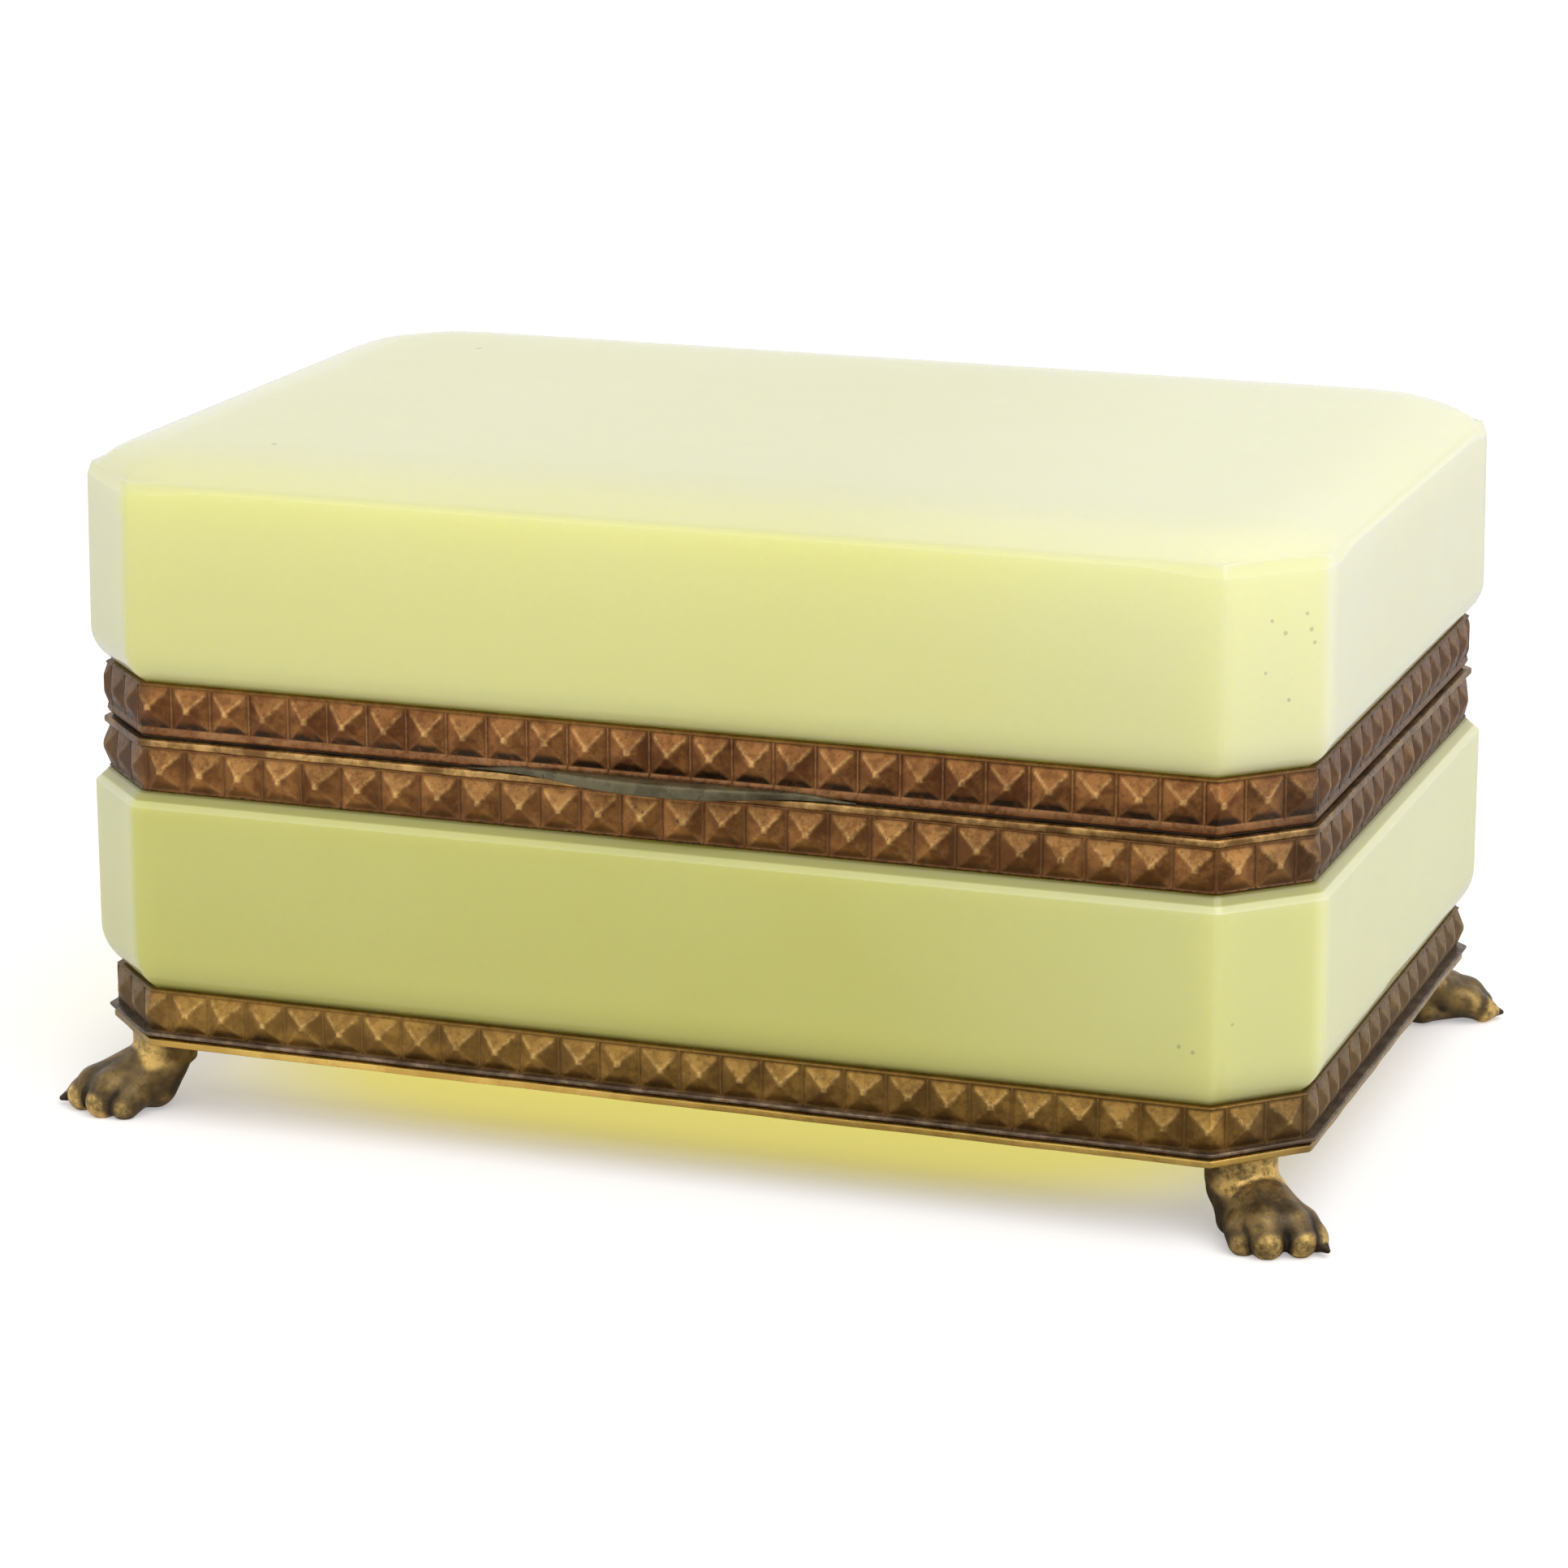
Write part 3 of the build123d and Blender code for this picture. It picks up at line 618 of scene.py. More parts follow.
def buildStrip(name, node, lowStrip, highStrip, drop, phase, seed):
    # a strip round the plan: its face with pyramids between plain borders, then its back
    low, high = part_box(node)[0].z - drop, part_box(node)[1].z
    length = bandPath(strip["inset"], np.zeros(1))[2]
    count = round(length / strip["pitch"])
    half = np.array([0.0, 0.6, 1.1, 1.85]) * strip["bar"]
    inside = strip["groove"] + (0.5 - strip["groove"]) * np.linspace(0.09, 1, 9)
    phases = np.concatenate([half, inside, 1 - inside[-2::-1], 1 - half[:0:-1]])
    along = (np.arange(count)[:, None] + phases[None]).reshape(-1)
    points, outward, _ = bandPath(strip["inset"], ((along + phase - 0.5) / count) % 1.0)
    share = np.linspace(0, 1, strip["faceRows"])
    studLow, studHigh = low + lowStrip, high - highStrip
    border = np.array([0.0, 0.1, 0.45, 0.9])
    lowBorder = low + border * (lowStrip - strip["borderGap"])
    highBorder = high - border[::-1] * (highStrip - strip["borderGap"])
    height = np.concatenate([lowBorder, studLow + share * (studHigh - studLow), highBorder])
    up = np.concatenate([0 * border - 1, share, 0 * border + 2])
    relief, tone = pyramids(along[None], np.clip(up, 0, 1)[:, None], count, seed)
    bare = ((up < 0) | (up > 1))[:, None]
    tone = {key: values * ~bare for key, values in tone.items()}
    tone["trim"] = np.broadcast_to((up < 0)[:, None] * 1.0, relief.shape)
    tone["brow"] = np.broadcast_to((up > 1)[:, None] * 1.0, relief.shape)
    # the plain borders stand a little proud, with round edges
    knots = [low, lowBorder[2], studLow, studHigh, highBorder[1], high]
    proud = strip["borderRise"] * np.interp(height, knots, [-0.5, 1, 0, 0, 1, -0.5])
    out = np.where(bare, proud[:, None], relief)
    out = np.vstack([out, np.full((2, len(along)), -strip["thickness"])])
    flat = points[None] + out[:, :, None] * outward[None]
    grid = lifted(flat, np.concatenate([height, [high, low]]))
    pad = np.zeros((2, len(along)))
    extra = {key: np.vstack([values, pad]) for key, values in tone.items()}
    points = grid.reshape(-1, 3)
    extra["endDarkening"] = endDarkening(points)
    return makeMesh(name, points, [gridFaces(len(grid), len(along), True)], extra)


# Flanges and plate

flange = {
    "steps": 1400, "wave": 0.05 * mm, "hingeHalf": 19.5 * mm, "hingeGap": 0.05 * mm,
    "round": 0.3 * mm, "bodyInset": 1.25 * mm, "baseInset": 0.7 * mm,
    "baseLow": 0.35 * mm,  # the base flange's faces over the foot of its strip
    "baseHigh": 0.8 * mm, "baseRound": 0.18 * mm, "baseBack": 2.5 * mm,
    "plateInset": 1.2 * mm, "plateBack": 11.2 * mm,
    "lip": 0.93,  # share of the plate's height that its lip takes up
}


def buildRing(name, line, back, notched=False):
    # a flat ring: an edge line carried round the plan with small waves and closed by a back face;
    # when notched, it is cut straight where the hinge stands
    share = np.arange(flange["steps"]) / flange["steps"]
    outer, move, _ = bandPath(0.0, share)
    inner = bandPath(back, share)[0]
    random = np.random.default_rng(3)
    turns, amount = random.integers(9, 60, 12), random.normal(0, 1, 12)
    phase = random.random(12) * 2 * pi
    wave = (amount * np.sin(2 * pi * turns * share[:, None] + phase)).sum(1) / 3.5
    inset = line[:, :1] + flange["wave"] * wave[None]
    rings = outer[None] - inset[:, :, None] * move[None]
    if notched:
        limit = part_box("hinge_leaf_body")[0].y - flange["hingeGap"]
        cut = np.abs(rings[:, :, 0]) < flange["hingeHalf"]
        rings[:, :, 1] = np.where(cut, np.minimum(rings[:, :, 1], limit), rings[:, :, 1])
    rings = np.concatenate([rings, inner[None], inner[None]])
    height = np.concatenate([line[:, 1], [line[-1, 1], line[0, 1]]])
    points = lifted(rings, height).reshape(-1, 3)
    faces = gridFaces(len(rings), flange["steps"], True)
    return makeMesh(name, points, [faces], {"endDarkening": endDarkening(points)})


def roundEdge(inset, low, high, radius):
    # the edge of a flange, from its lower face to its upper one
    reach = inset + 1.2 * mm
    return roundedLine([(reach, low), (inset, low), (inset, high), (reach, high)], [radius] * 2)


def stepEdge(inset, low, high):
    # the edge of the base plate: a rolled lower lip and a recessed upper part
    deep, middle = inset + mm, low + flange["lip"] * (high - low)
    line = [(deep, low), (inset, low), (inset, middle), (deep, middle)]
    line += [(deep, high), (deep + mm, high)]
    return roundedLine(line, [0.2 * mm, 0.3 * mm, sharp, sharp])


# Lion paws

paw = {
    "step": 0.16 * mm,
    "spaceLow": (-8.9, -7.4, -0.4),  # the space that is searched for its surface, in mm
    "spaceHigh": (10.4, 7.4, 10.3),
    "blend": 1.0 * mm, "ankleBlend": 0.5 * mm, "legBlend": 0.64 * mm,
    "toeBlend": 0.4 * mm, "jointBlend": 0.8 * mm,
    "ankleHalf": (3.5, 3.75), "ankleMiddle": -4.65 * mm, "ankleLow": 5.7 * mm,
    "ankleRound": 2.6 * mm, "ankleEdge": 0.5 * mm,
    # toes as chains of balls: outwards, towards the casket's end, up, radius
    "toes": [
        [(-2.8, -1.5, 3.8, 2.2), (0.7, -2.9, 2.5, 1.95), (1.8, -3.4, 1.5, 1.8)],
        [(-1.5, -0.6, 5.0, 2.1), (2.7, -1.4, 3.2, 2.1), (3.9, -1.6, 1.8, 2.1)],
        [(-1.3, 0.9, 5.0, 2.1), (3.7, 1.6, 3.1, 2.0), (5.2, 1.9, 1.7, 1.9)],
        [(-2.2, 1.8, 4.4, 2.0), (2.8, 3.5, 2.7, 1.8), (4.6, 4.0, 1.6, 1.5), (7.2, 4.2, 0.9, 0.35)],
    ],
    # heel, leg and sole as tapered bars: two ends with radii, and how much wider than tall
    "heel": ((-5.6, 0, 7.0, 2.5), (-3.4, 0, 2.6, 2.4), 1.55),
    "instep": ((-4.0, 0, 5.8, 2.6), (3.0, 0.4, 2.9, 2.3), 1.7),
    "sole": ((-2.6, 0, 1.7, 1.7), (3.0, 0.4, 1.5, 1.5), 2.1),
    "claw": (7.4, 4.2, 0.9),  # tip of the dark claw and its length
    "clawLength": 1.3 * mm,
    "goldReach": (6.0, 8.4),  # millimetres from the ankle between which toes turn bright
    "goldHigh": 4.8 * mm, "goldLeast": 0.18, "smoothing": 6,
    "goldBend": (0.03, 0.2), "darkBend": (-0.02, 0.1),  # worn where it bends outwards
}


def barField(points, start, end, wide=1.0):
    # distance to a bar between two balls of different radii, stretched sideways
    start, end = np.array(start) * mm, np.array(end) * mm
    squeeze = np.array([1, 1 / wide, 1])
    first, way = start[:3] * squeeze, (end - start)[:3] * squeeze
    spot = points * squeeze - first
    along = np.clip(spot @ way / (way @ way), 0, 1)
    reach = norm(spot - along[..., None] * way, axis=-1)
    return reach - start[3] - along * (end[3] - start[3])


def blend(first, second, soft):
    # the union of two distances with a fillet of about the soft length
    share = np.clip(0.5 + (second - first) / (2 * soft), 0, 1)
    return second + share * (first - second) - soft * share * (1 - share)


def pawField(points, top):
    # distance to the paw: ankle block, heel, leg, sole and four toes, cut flat at sole and top
    half = np.array(paw["ankleHalf"]) * mm - paw["ankleRound"]
    spot = np.abs(points[..., :2] - np.array([paw["ankleMiddle"], 0])) - half
    around = norm(np.maximum(spot, 0), axis=-1) + np.minimum(spot.max(-1), 0)
    around, below = around - paw["ankleRound"], paw["ankleLow"] - points[..., 2]
    edge = paw["ankleEdge"]
    ankle = np.hypot(np.maximum(around + edge, 0), np.maximum(below + edge, 0)) - edge
    ankle = ankle + np.minimum(np.maximum(around, below) + edge, 0)
    leg = blend(barField(points, *paw["instep"]), barField(points, *paw["sole"]), paw["blend"])
    leg = blend(leg, barField(points, *paw["heel"]), paw["blend"])
    leg = blend(leg, ankle, paw["ankleBlend"])
    toes = []
    for chain in paw["toes"]:
        toe = barField(points, chain[0], chain[1])
        for start, end in zip(chain[1:], chain[2:]):
            toe = blend(toe, barField(points, start, end), paw["jointBlend"])
        toes.append(toe)
    foot = toes[0]
    for toe in toes[1:]:
        foot = blend(foot, toe, paw["toeBlend"])
    whole = blend(leg, foot, paw["legBlend"])
    return np.max([whole, -points[..., 2], points[..., 2] - top], 0)


def surfaceNet(field, low, step):
    # a field's zero level as a mesh: a point in each cell that it crosses, at the mean of its
    # edge crossings, and a quad for each grid edge that it crosses
    cells, unit = tuple(size - 1 for size in field.shape), np.eye(3, dtype=int)
    total, count = np.zeros((*cells, 3)), np.zeros(cells)
    for axis in range(3):
        for spot in np.ndindex(2, 2):
            corner = np.insert(spot, axis, 0)
            ends = corner, corner + unit[axis]
            near, far = [field[tuple(slice(c, c + n) for c, n in zip(end, cells))] for end in ends]
            crosses = (near < 0) != (far < 0)
            share = np.where(crosses, near / np.where(crosses, near - far, 1), 0)
            parts = [share if k == axis else crosses * corner[k] for k in range(3)]
            total += np.stack(parts, -1)
            count += crosses
    used = count > 0
    number = np.full(cells, -1)
    number[used] = np.arange(used.sum())
    where = np.argwhere(used)
    points = low + step * (where + total[used] / count[used][:, None])
    quads = []
    for axis in range(3):
        u, v = unit[(axis + 1) % 3], unit[(axis + 2) % 3]
        near, far = [slice(1, -1)] * 3, [slice(1, -1)] * 3
        near[axis], far[axis] = slice(0, -1), slice(1, None)
        near, far = field[tuple(near)] < 0, field[tuple(far)] < 0
        edge = np.argwhere(near != far)
        quad = [number[tuple((edge + shift).T)] for shift in (0 * u, u, u + v, v)]
        quad = np.stack(quad, 1)
        outwards = near[tuple(edge.T)][:, None]
        quads.append(np.where(outwards, quad, quad[:, ::-1]))
    return points, np.concatenate(quads), where


def buildPaws():
    # one paw from its field, set or mirrored at each corner; its metal is worn bright where it
    # bends outwards and dark where it bends inwards
    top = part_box("foot_front_left")[1].z
    step = paw["step"]
    low, high = np.array(paw["spaceLow"]) * mm, np.array(paw["spaceHigh"]) * mm
    axes = [np.arange(a, b, step) for a, b in zip(low, high)]
    field = pawField(np.stack(np.meshgrid(*axes, indexing="ij"), -1), top)
    points, quads, where = surfaceNet(field, low, step)
    smooth = field.copy()
    for _ in range(paw["smoothing"]):
        for axis in range(3):
            smooth = (np.roll(smooth, 1, axis) + 2 * smooth + np.roll(smooth, -1, axis)) / 4
    bend = sum(np.roll(smooth, 1, k) + np.roll(smooth, -1, k) - 2 * smooth for k in range(3)) / step
    bend = bend[tuple(where.T)]
    out, height = points[:, 0], points[:, 2]
    onAnkle = fade(height - paw["ankleLow"], -0.5, 0.7)
    onAnkle = onAnkle * (1 - fade(out, -1.2, -0.4)) * fade(out, -5, -1.8)
    toeTips = fade(np.hypot(out + 3 * mm, points[:, 1]), *paw["goldReach"])
    toeTips = toeTips * (1 - ramp(height, 0.5 * paw["goldHigh"], paw["goldHigh"]))
    claw = norm(points - np.array(paw["claw"]) * mm, axis=1)
    claw = 1 - ramp(claw, 0.7 * paw["clawLength"], paw["clawLength"])
    worn = ramp(bend, *paw["goldBend"]) * np.maximum(toeTips, paw["goldLeast"]) * (1 - claw)
    hollow = np.maximum(ramp(-bend, *paw["darkBend"]), 0.9 * claw)
    extra = {"worn": np.maximum(worn, 0.9 * onAnkle), "hollow": hollow}
    # each stands at the middle of a cut edge of the bottom flange
    middle = np.abs(planCorners(flange["baseInset"])[1:3].mean(0))
    for name in ("foot_front_left", "foot_front_right", "foot_back_left", "foot_back_right"):
        sideX, sideY = (1 if word in name else -1 for word in ("right", "back"))
        away = np.array([sideX, sideY]) / 2 ** 0.5
        across = np.array([sideX, -sideY]) / 2 ** 0.5
        outwards = quads if sideX * sideY < 0 else quads[:, ::-1]
        flat = points[:, :1] * away + points[:, 1:2] * across + middle * (sideX, sideY)
        placed = np.concatenate([flat, points[:, 2:]], 1)
        piece = makeMesh(name.replace("foot", "paw"), placed, [outwards], extra)
        settle(piece, metals["pawBrass"], "case", "paw_brass", name)


# Thumb lip

thumb = {
    "columns": 160, "thickness": 0.62 * mm, "round": 0.28 * mm,
    "rootInset": 1.8 * mm, "endDepth": 0.3 * mm,
    "gap": 0.15 * mm,  # clearance over the body's flange
    "endGap": 0.08 * mm,
    "dropStart": 0.2,  # share of its depth from which the nose hangs down
    "taper": 0.85,
}


def buildThumbLip():
    # a crescent with a rounded nose that hangs in front of the body's flange
    low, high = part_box("thumb_lip")
    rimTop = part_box("body_rim")[1].z
    root = thumb["rootInset"] - plan["halfWidth"]
    endDepth, tipDepth = thumb["endDepth"], root - low.y
    across = np.sin(np.linspace(-pi / 2, pi / 2, thumb["columns"]))
    # a cubic curve from the end's depth to the tip's, as on the solid
    curve = np.linspace(1, 0, 200)
    curveX = (1 - curve) ** 3 + 1.5 * curve * (1 - curve)
    curveY = endDepth + (tipDepth - endDepth) * (3 * curve ** 2 * (1 - curve) + curve ** 3)
    spread = (np.interp(np.abs(across), curveX, curveY) - endDepth) / (tipDepth - endDepth)
    under = rimTop + thumb["gap"]
    sections = []
    for reach, nose in ((endDepth, rimTop + thumb["endGap"]), (tipDepth, low.z)):
        inner = max(reach - thumb["thickness"], 0.1 * mm)
        line = [(0, under), (inner, under), (inner, nose), (reach, nose)]
        line += [(reach, high.z), (0, high.z)]
        small = 0.4 * (under - nose)
        radii = [small, min(small, 0.1 * mm), thumb["round"] * 0.6, thumb["round"] * 1.6]
        sections.append(roundedLine(line, radii, 6))
    flat, tall = sections
    drop = np.clip((spread - thumb["dropStart"]) / (1 - thumb["dropStart"]), 0, 1)
    depth = flat[:, 0] + spread[:, None] * (tall - flat)[:, 0]
    height = flat[:, 1] + drop[:, None] * (tall - flat)[:, 1]
    thin = 1 - thumb["taper"] * ramp(np.abs(across), 0.7, 1)
    height = under + (height - under) * thin[:, None]
    x = np.broadcast_to(high.x * across[:, None], depth.shape)
    grid = np.stack([x, root - depth, height], 2)
    ends = [(side * high.x, root - 0.4 * endDepth, under + 0.3 * mm) for side in (-1, 1)]
    return cappedMesh("thumb_piece", grid, *ends, {}, flip=True)


# Metal

wear = {"endColour": (0.085, 0.062, 0.044), "endDarkening": 0.7, "stain": 0.5, "pits": 0.6}


def brassMaterial(name, look):
    # old brass: dark skin in the hollows, bare metal where hands have rubbed it; on the strips also
    # painted sky light on upper faces, a painted highlight on upper ridges and painted shade on
    # lower faces
    material, wire, shader = newMaterial(name, {})
    blotches, pitted, gloss, tooth, metal = look["skin"]
    blotch = noise(wire, blotches, 4, 0.6).span(0.36, 0.66)
    fine = noise(wire, blotches * 8, 4, 0.65)
    grain = fine.span(0.3, 0.7, -0.3, 0.3)
    colour = blotch.tint(look["dark"], look["middle"])
    # borders and bars in their own colours; sky is painted light on the pyramids' upper faces
    for part in ("trim", "brow", "sky", "bar"):
        if part in look:
            cover = attribute(wire, part) * (0.5 + 0.35 * blotch + grain)
            colour = cover.tint(colour, look[part])
    # painted shade on the pyramids' lower faces and dirt in their grooves
    colour = (attribute(wire, "grimeAndShade") * look.get("sink", 1)).tint(colour, look["grimeAndShade"])
    colour = attribute(wire, "hollow").tint(colour, look["grimeAndShade"])
    # gold on rubbed ridges and tips, also a painted highlight on the strips' upper ridges
    if "gold" in look:
        worn = attribute(wire, "gold") + attribute(wire, "worn")
        colour = (worn * (0.55 + 0.5 * blotch + grain)).tint(colour, look["gold"])
    stain = noise(wire, blotches * 3.5, 3, 0.6).span(0.46, 0.62) * wear["stain"]
    colour = stain.tint(colour, look["dark"])
    # darker and greyer towards the ends
    colour = (attribute(wire, "endDarkening") * wear["endDarkening"]).tint(colour, wear["endColour"])
    pits = fine.span(0.6, 0.72) * pitted
    join(pits.tint(colour, look["grimeAndShade"]), shader, "Base Color")
    join(grain.span(-0.3, 0.3, gloss, gloss + 0.2), shader, "Roughness")
    join((1 - pits * wear["pits"]) * metal, shader, "Metallic")
    bump(wire, fine, shader, tooth, 0.1 * mm)
    return material


# skin: blotches per metre, pits, least roughness, tooth, how metallic
# sky is painted light on the pyramids' upper faces; gold is also a painted highlight on their upper
# ridges; the darkest colour also paints shade on their lower faces
looks = {
    "lidStripBrass": {
        "skin": (240, 0.75, 0.36, 0.45, 0.88),
        "dark": (0.17, 0.062, 0.02), "middle": (0.4, 0.175, 0.055), "sky": (0.43, 0.195, 0.062),
        "bar": (0.42, 0.21, 0.08), "trim": (0.44, 0.22, 0.095), "brow": (0.23, 0.125, 0.03),
        "gold": (0.92, 0.54, 0.2), "grimeAndShade": (0.045, 0.026, 0.014),
    },
    "bodyStripBrass": {
        "skin": (240, 0.75, 0.36, 0.45, 0.88),
        "dark": (0.18, 0.072, 0.022), "middle": (0.42, 0.19, 0.058), "sky": (0.52, 0.265, 0.085),
        "bar": (0.2, 0.11, 0.05), "trim": (0.05, 0.03, 0.015), "brow": (0.3, 0.15, 0.06),
        "gold": (0.92, 0.56, 0.2), "grimeAndShade": (0.045, 0.026, 0.014), "sink": 0.55,
    },
    "baseStripBrass": {
        "skin": (240, 0.7, 0.36, 0.45, 0.88),
        "dark": (0.2, 0.105, 0.026), "middle": (0.42, 0.235, 0.055), "sky": (0.47, 0.27, 0.068),
        "bar": (0.28, 0.16, 0.05), "trim": (0.09, 0.055, 0.022), "brow": (0.26, 0.145, 0.035),
        "gold": (0.9, 0.58, 0.2), "grimeAndShade": (0.05, 0.034, 0.014), "sink": 0.5,
    },
    "rimBrass": {
        "skin": (260, 0.8, 0.28, 0.5, 0.88),
        "dark": (0.22, 0.11, 0.035), "middle": (0.72, 0.44, 0.16), "grimeAndShade": (0.08, 0.045, 0.02),
    },
    # near black: painted shade for the seam under the lid's strip
    "seamShadeBrass": {
        "skin": (110, 0.5, 0.5, 0.3, 0.5), "grimeAndShade": (0.02, 0.014, 0.008),
        "dark": (0.035, 0.022, 0.012), "middle": (0.075, 0.045, 0.022),
    },
    "flangeBrass": {
        "skin": (260, 0.7, 0.34, 0.5, 0.7),
        "dark": (0.1, 0.065, 0.04), "middle": (0.34, 0.24, 0.16), "grimeAndShade": (0.05, 0.032, 0.018),
    },
    "plateBrass": {
        "skin": (90, 0.3, 0.25, 0.2, 0.85),
        "dark": (0.62, 0.38, 0.085), "middle": (0.9, 0.6, 0.16), "grimeAndShade": (0.2, 0.12, 0.035),
    },
    "pawBrass": {
        "skin": (210, 0.45, 0.34, 0.6, 0.75),
        "dark": (0.08, 0.054, 0.026), "middle": (0.27, 0.175, 0.06), "gold": (0.9, 0.6, 0.19),
        "grimeAndShade": (0.03, 0.02, 0.011),
    },
    "thumbBrass": {
        "skin": (130, 0.9, 0.42, 0.8, 0.6),
        "dark": (0.06, 0.048, 0.024), "middle": (0.185, 0.16, 0.09), "grimeAndShade": (0.03, 0.022, 0.012),
    },
    "hingeBrass": {
        "skin": (160, 0.5, 0.3, 0.3, 0.85),
        "dark": (0.2, 0.11, 0.04), "middle": (0.46, 0.28, 0.1), "grimeAndShade": (0.05, 0.035, 0.02),
    },
}


def plasterMaterial():
    # dry plaster that beds the strips on the glass
    material, wire, shader = newMaterial("plaster", {"Roughness": 0.9})
    grain = noise(wire, 400, 5, 0.7)
    join(grain.span(0.3, 0.7).tint((0.34, 0.3, 0.22), (0.62, 0.57, 0.46)), shader, "Base Color")
    bump(wire, grain, shader, 0.6, 0.2 * mm)
    return material


# Camera, floor and light

view = {
    "place": (200.89 * mm, -564.2 * mm, 199.27 * mm),
    "yaw": 19.781, "pitch": 15.294, "roll": -0.075, "lens": 116.94,
}


def stand(name, data, place, *turns):
    # a camera or lamp at its place, turned about one axis after another
    pose = Matrix.Translation(place)
    for degrees, axis in turns:
        pose = pose @ Matrix.Rotation(radians(degrees), 4, axis)
    made = bpy.data.objects.new(name, data)
    made.matrix_world = pose
    scene.collection.objects.link(made)
    return made


def buildCamera():
    # the photograph's camera: yaw, then pitch, then roll
    data = bpy.data.cameras.new("camera")
    data.lens = view["lens"]
    data.sensor_width = 36
    data.clip_start = 0.01
    turns = (view["yaw"], "Z"), (90 - view["pitch"], "X"), (view["roll"], "Z")
    scene.camera = stand("camera", data, view["place"], *turns)


light = {
    "skyStrength": 0.6, "horizonShare": 0.75,  # how much of it is left near the horizon
    "horizon": (-0.05, 0.75),
    "darkAzimuth": 26, "darkElevation": 12,  # middle of the room's dark side
    "darkShare": 0.35,
    "skyEdges": (48, 18), "floorEdges": (50, 15),  # degrees from there where it starts, is full
    "keyStrength": 1.5, "keyAngle": 60, "keyElevation": 52,
    "keyAzimuth": 48,  # degrees from the front towards the right
    "floorColour": (0.86, 0.85, 0.86), "floorLift": (0.37, 0.36, 0.36),
    "floorGlow": (0.38, 0.32, 0.07),
    "floorRadius": 1.2, "floorCorners": 96,
    "lowClear": 0.6, "highClear": 0.95,  # shares of its size between which glow turns to lift
}


def buildSun():
    # a wide soft lamp from the right front
    data = bpy.data.lights.new("key", "SUN")
    data.energy = light["keyStrength"]
    data.angle = radians(light["keyAngle"])
    turns = (light["keyAzimuth"], "Z"), (90 - light["keyElevation"], "X")
    stand("key", data, (0, 0, 0), *turns)


def darkSide(wire, way, elevation, edges, start=0, end=1):
    # a smooth step from start to end as a direction nears the middle of the room's dark side
    azimuth, elevation = radians(light["darkAzimuth"]), radians(elevation)
    middle = (sin(azimuth) * cos(elevation), -cos(azimuth) * cos(elevation), sin(elevation))
    near = wire.vector("DOT_PRODUCT", way, middle, output="Value")
    return near.span(cos(radians(edges[0])), cos(radians(edges[1])), start, end)


def buildWorld():
    # a white room that is brighter overhead and darker on one side at eye level;
    # seen straight or through glass it is plain white
    world = bpy.data.worlds.new("studio")
    world.use_nodes = True
    wire = Wire(world.node_tree)
    way = wire.node("TexCoord", output="Generated")
    height = wire.node("SeparateXYZ", None, {0: way}, "Z")
    shade = darkSide(wire, way, light["darkElevation"], light["skyEdges"], 1, light["darkShare"])
    sky = height.span(*light["horizon"], light["horizonShare"], 1)
    camera, glossy, transmitted = [ray(wire, kind) for kind in ("Camera", "Glossy", "Transmission")]
    seen = (camera + transmitted).span(0, 1)
    lit = glossy * shade + (1 - glossy) * sky * light["skyStrength"]
    background = world.node_tree.nodes["Background"]
    background.inputs["Color"].default_value = (1, 1, 1, 1)
    join(seen + (1 - seen) * lit, background, "Strength")
    scene.world = world


def buildFloor():
    # round white paper; seen straight, light of its own lifts it to the background's white, or
    # to the glass's glow under the casket; the metal sees the room's dark side on it
    count, radius = light["floorCorners"], light["floorRadius"]
    angle = np.arange(count) * 2 * pi / count
    ring = np.stack([radius * np.cos(angle), radius * np.sin(angle), 0 * angle], 1)
    points = np.vstack([ring, [(0, 0, 0)]])
    floor = makeMesh("floor", points, [fan(count, np.arange(count), True)])
    surface = {"Roughness": 0.9, "Specular IOR Level": 0.0, "Emission Strength": 1}
    material, wire, shader = newMaterial("paper", surface)
    way = wire.vector("NORMALIZE", place(wire))
    shade = ray(wire, "Glossy") * darkSide(wire, way, 0, light["floorEdges"])
    dim = tuple(value * light["darkShare"] for value in light["floorColour"])
    join(shade.tint(light["floorColour"], dim), shader, "Base Color")
    scale = (1 / plan["halfLength"], 1 / plan["halfWidth"], 1)
    shares = wire.vector("MULTIPLY", place(wire), scale)
    # low in a rounded rectangle under the casket
    far = wire.vector("LENGTH", wire.vector("MULTIPLY", shares, shares), output="Value")
    lift = far.span(light["lowClear"] ** 2, light["highClear"] ** 2)
    lift = lift.tint(light["floorGlow"], light["floorLift"])
    join(ray(wire, "Camera").tint((0, 0, 0), lift), shader, "Emission Color")
    dress(floor, material)


# Assembly

buildCamera()
buildWorld()
buildFloor()
buildSun()
scene.view_settings.view_transform = "Standard"
print("camera, floor and light are set")

metals = {name: brassMaterial(name, look) for name, look in looks.items()}
plaster = plasterMaterial()

opaline = {key: glassMaterial(key + "Opaline", colours) for key, colours in glassColours.items()}
settle(buildBodyGlass(), opaline["body"], "case", "opaline_glass", "glass_body")
settle(buildLidGlass(), opaline["lid"], "lid", "opaline_glass", "glass_lid")
print("glass is built")

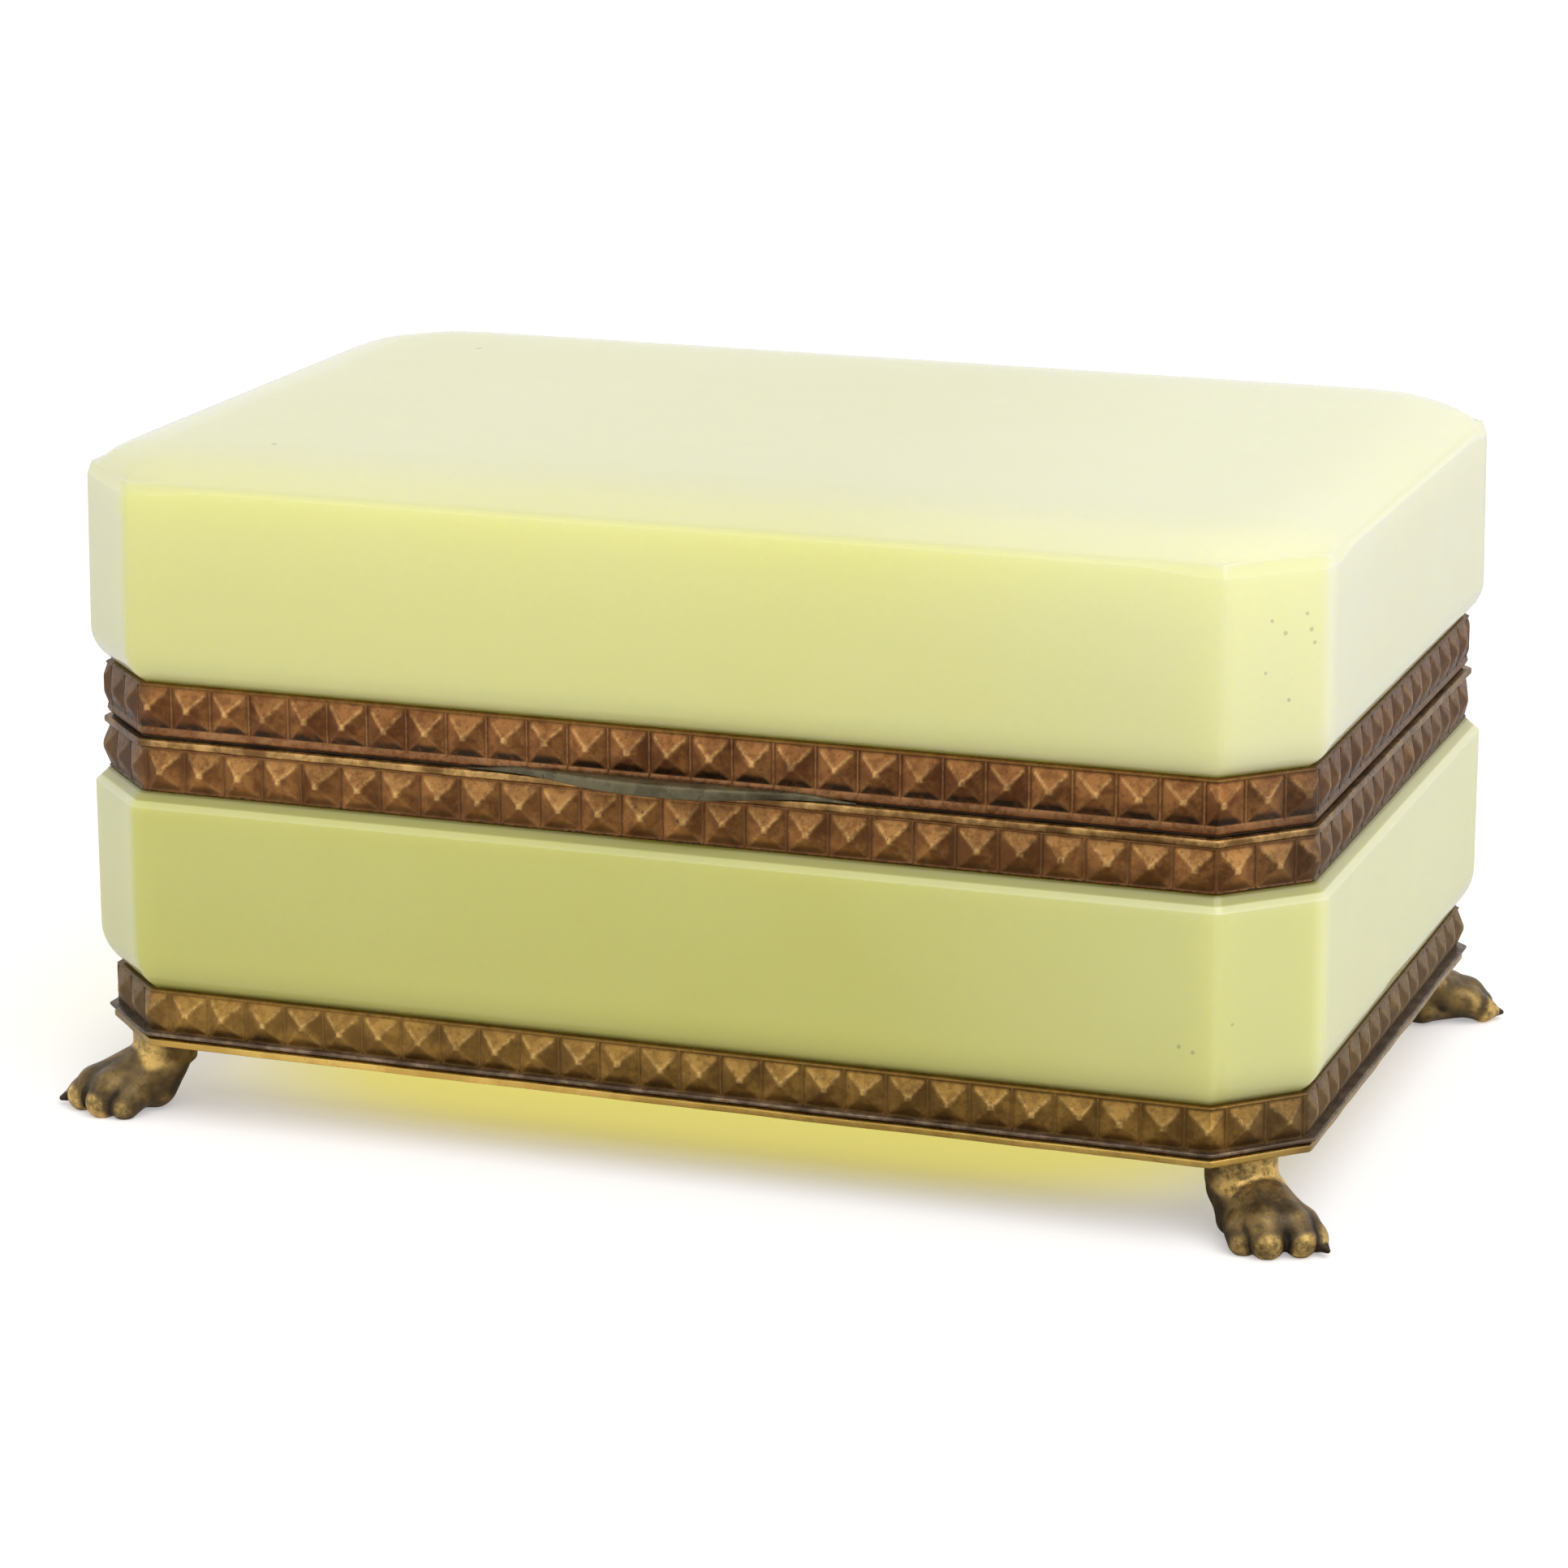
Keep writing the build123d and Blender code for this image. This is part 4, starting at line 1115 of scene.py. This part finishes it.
strips = {
    # node, body, lower and upper border, drop below its node, phase, metal, slot
    "lid_strip": ("lid_collar", "lid", 1.1, 0.45, 0.25, 0.31, "lidStripBrass", "collar_brass"),
    "body_strip": ("body_collar", "case", 0.35, 0.45, 0.0, 0.61, "bodyStripBrass", "collar_brass"),
    "base_strip": ("base_collar", "case", 0.9, 0.45, 0.0, 0.0, "baseStripBrass", "base_brass"),
}
for seed, (name, facts) in enumerate(strips.items()):
    node, body, lowStrip, highStrip, drop, phase, metal, slotName = facts
    sizes = [value * mm for value in (lowStrip, highStrip, drop)]
    piece = buildStrip(name, node, *sizes, phase, strip["seed"] + seed)
    settle(piece, metals[metal], body, slotName, node)
print("stamped strips are built")

levels = [corner.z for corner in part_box("body_rim")]
bodyEdge = roundEdge(flange["bodyInset"], *levels, flange["round"])
bodyFlange = buildRing("body_flange", bodyEdge, plan["wall"], True)
settle(bodyFlange, metals["rimBrass"], "case", "rim_brass", "body_rim")
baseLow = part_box("base_collar")[0].z
levels = baseLow + flange["baseLow"], baseLow + flange["baseHigh"]
baseEdge = roundEdge(flange["baseInset"], *levels, flange["baseRound"])
baseFlange = buildRing("base_flange", baseEdge, flange["baseBack"])
settle(baseFlange, metals["flangeBrass"], "case", "base_brass", "base_collar")
levels = [corner.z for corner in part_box("base_plate")]
plateEdge = stepEdge(flange["plateInset"], *levels)
plate = buildRing("plate_piece", plateEdge, flange["plateBack"])
settle(plate, metals["plateBrass"], "case", "plate_brass", "base_plate")
print("flanges and plate are built")

buildPaws()
settle(buildThumbLip(), metals["thumbBrass"], "lid", "thumb_lip_brass", "thumb_lip")
print("paws and thumb lip are built")

finishes = {
    "rimBrass": ["inner_lip"],
    # the lid's rim: painted shade for the dark seam under the lid's strip
    "seamShadeBrass": ["lid_rim"],
    "hingeBrass": ["hinge_leaf_body", "hinge_leaf_lid", "hinge_pin",
                   "hinge_rivets_body", "hinge_rivets_lid", "foot_screws"],
}
for metal, names in finishes.items():
    for name in names:
        dress(nodes[name], metals[metal])
for name in ("body_cement", "base_cement", "lid_cement"):
    dress(nodes[name], plaster)
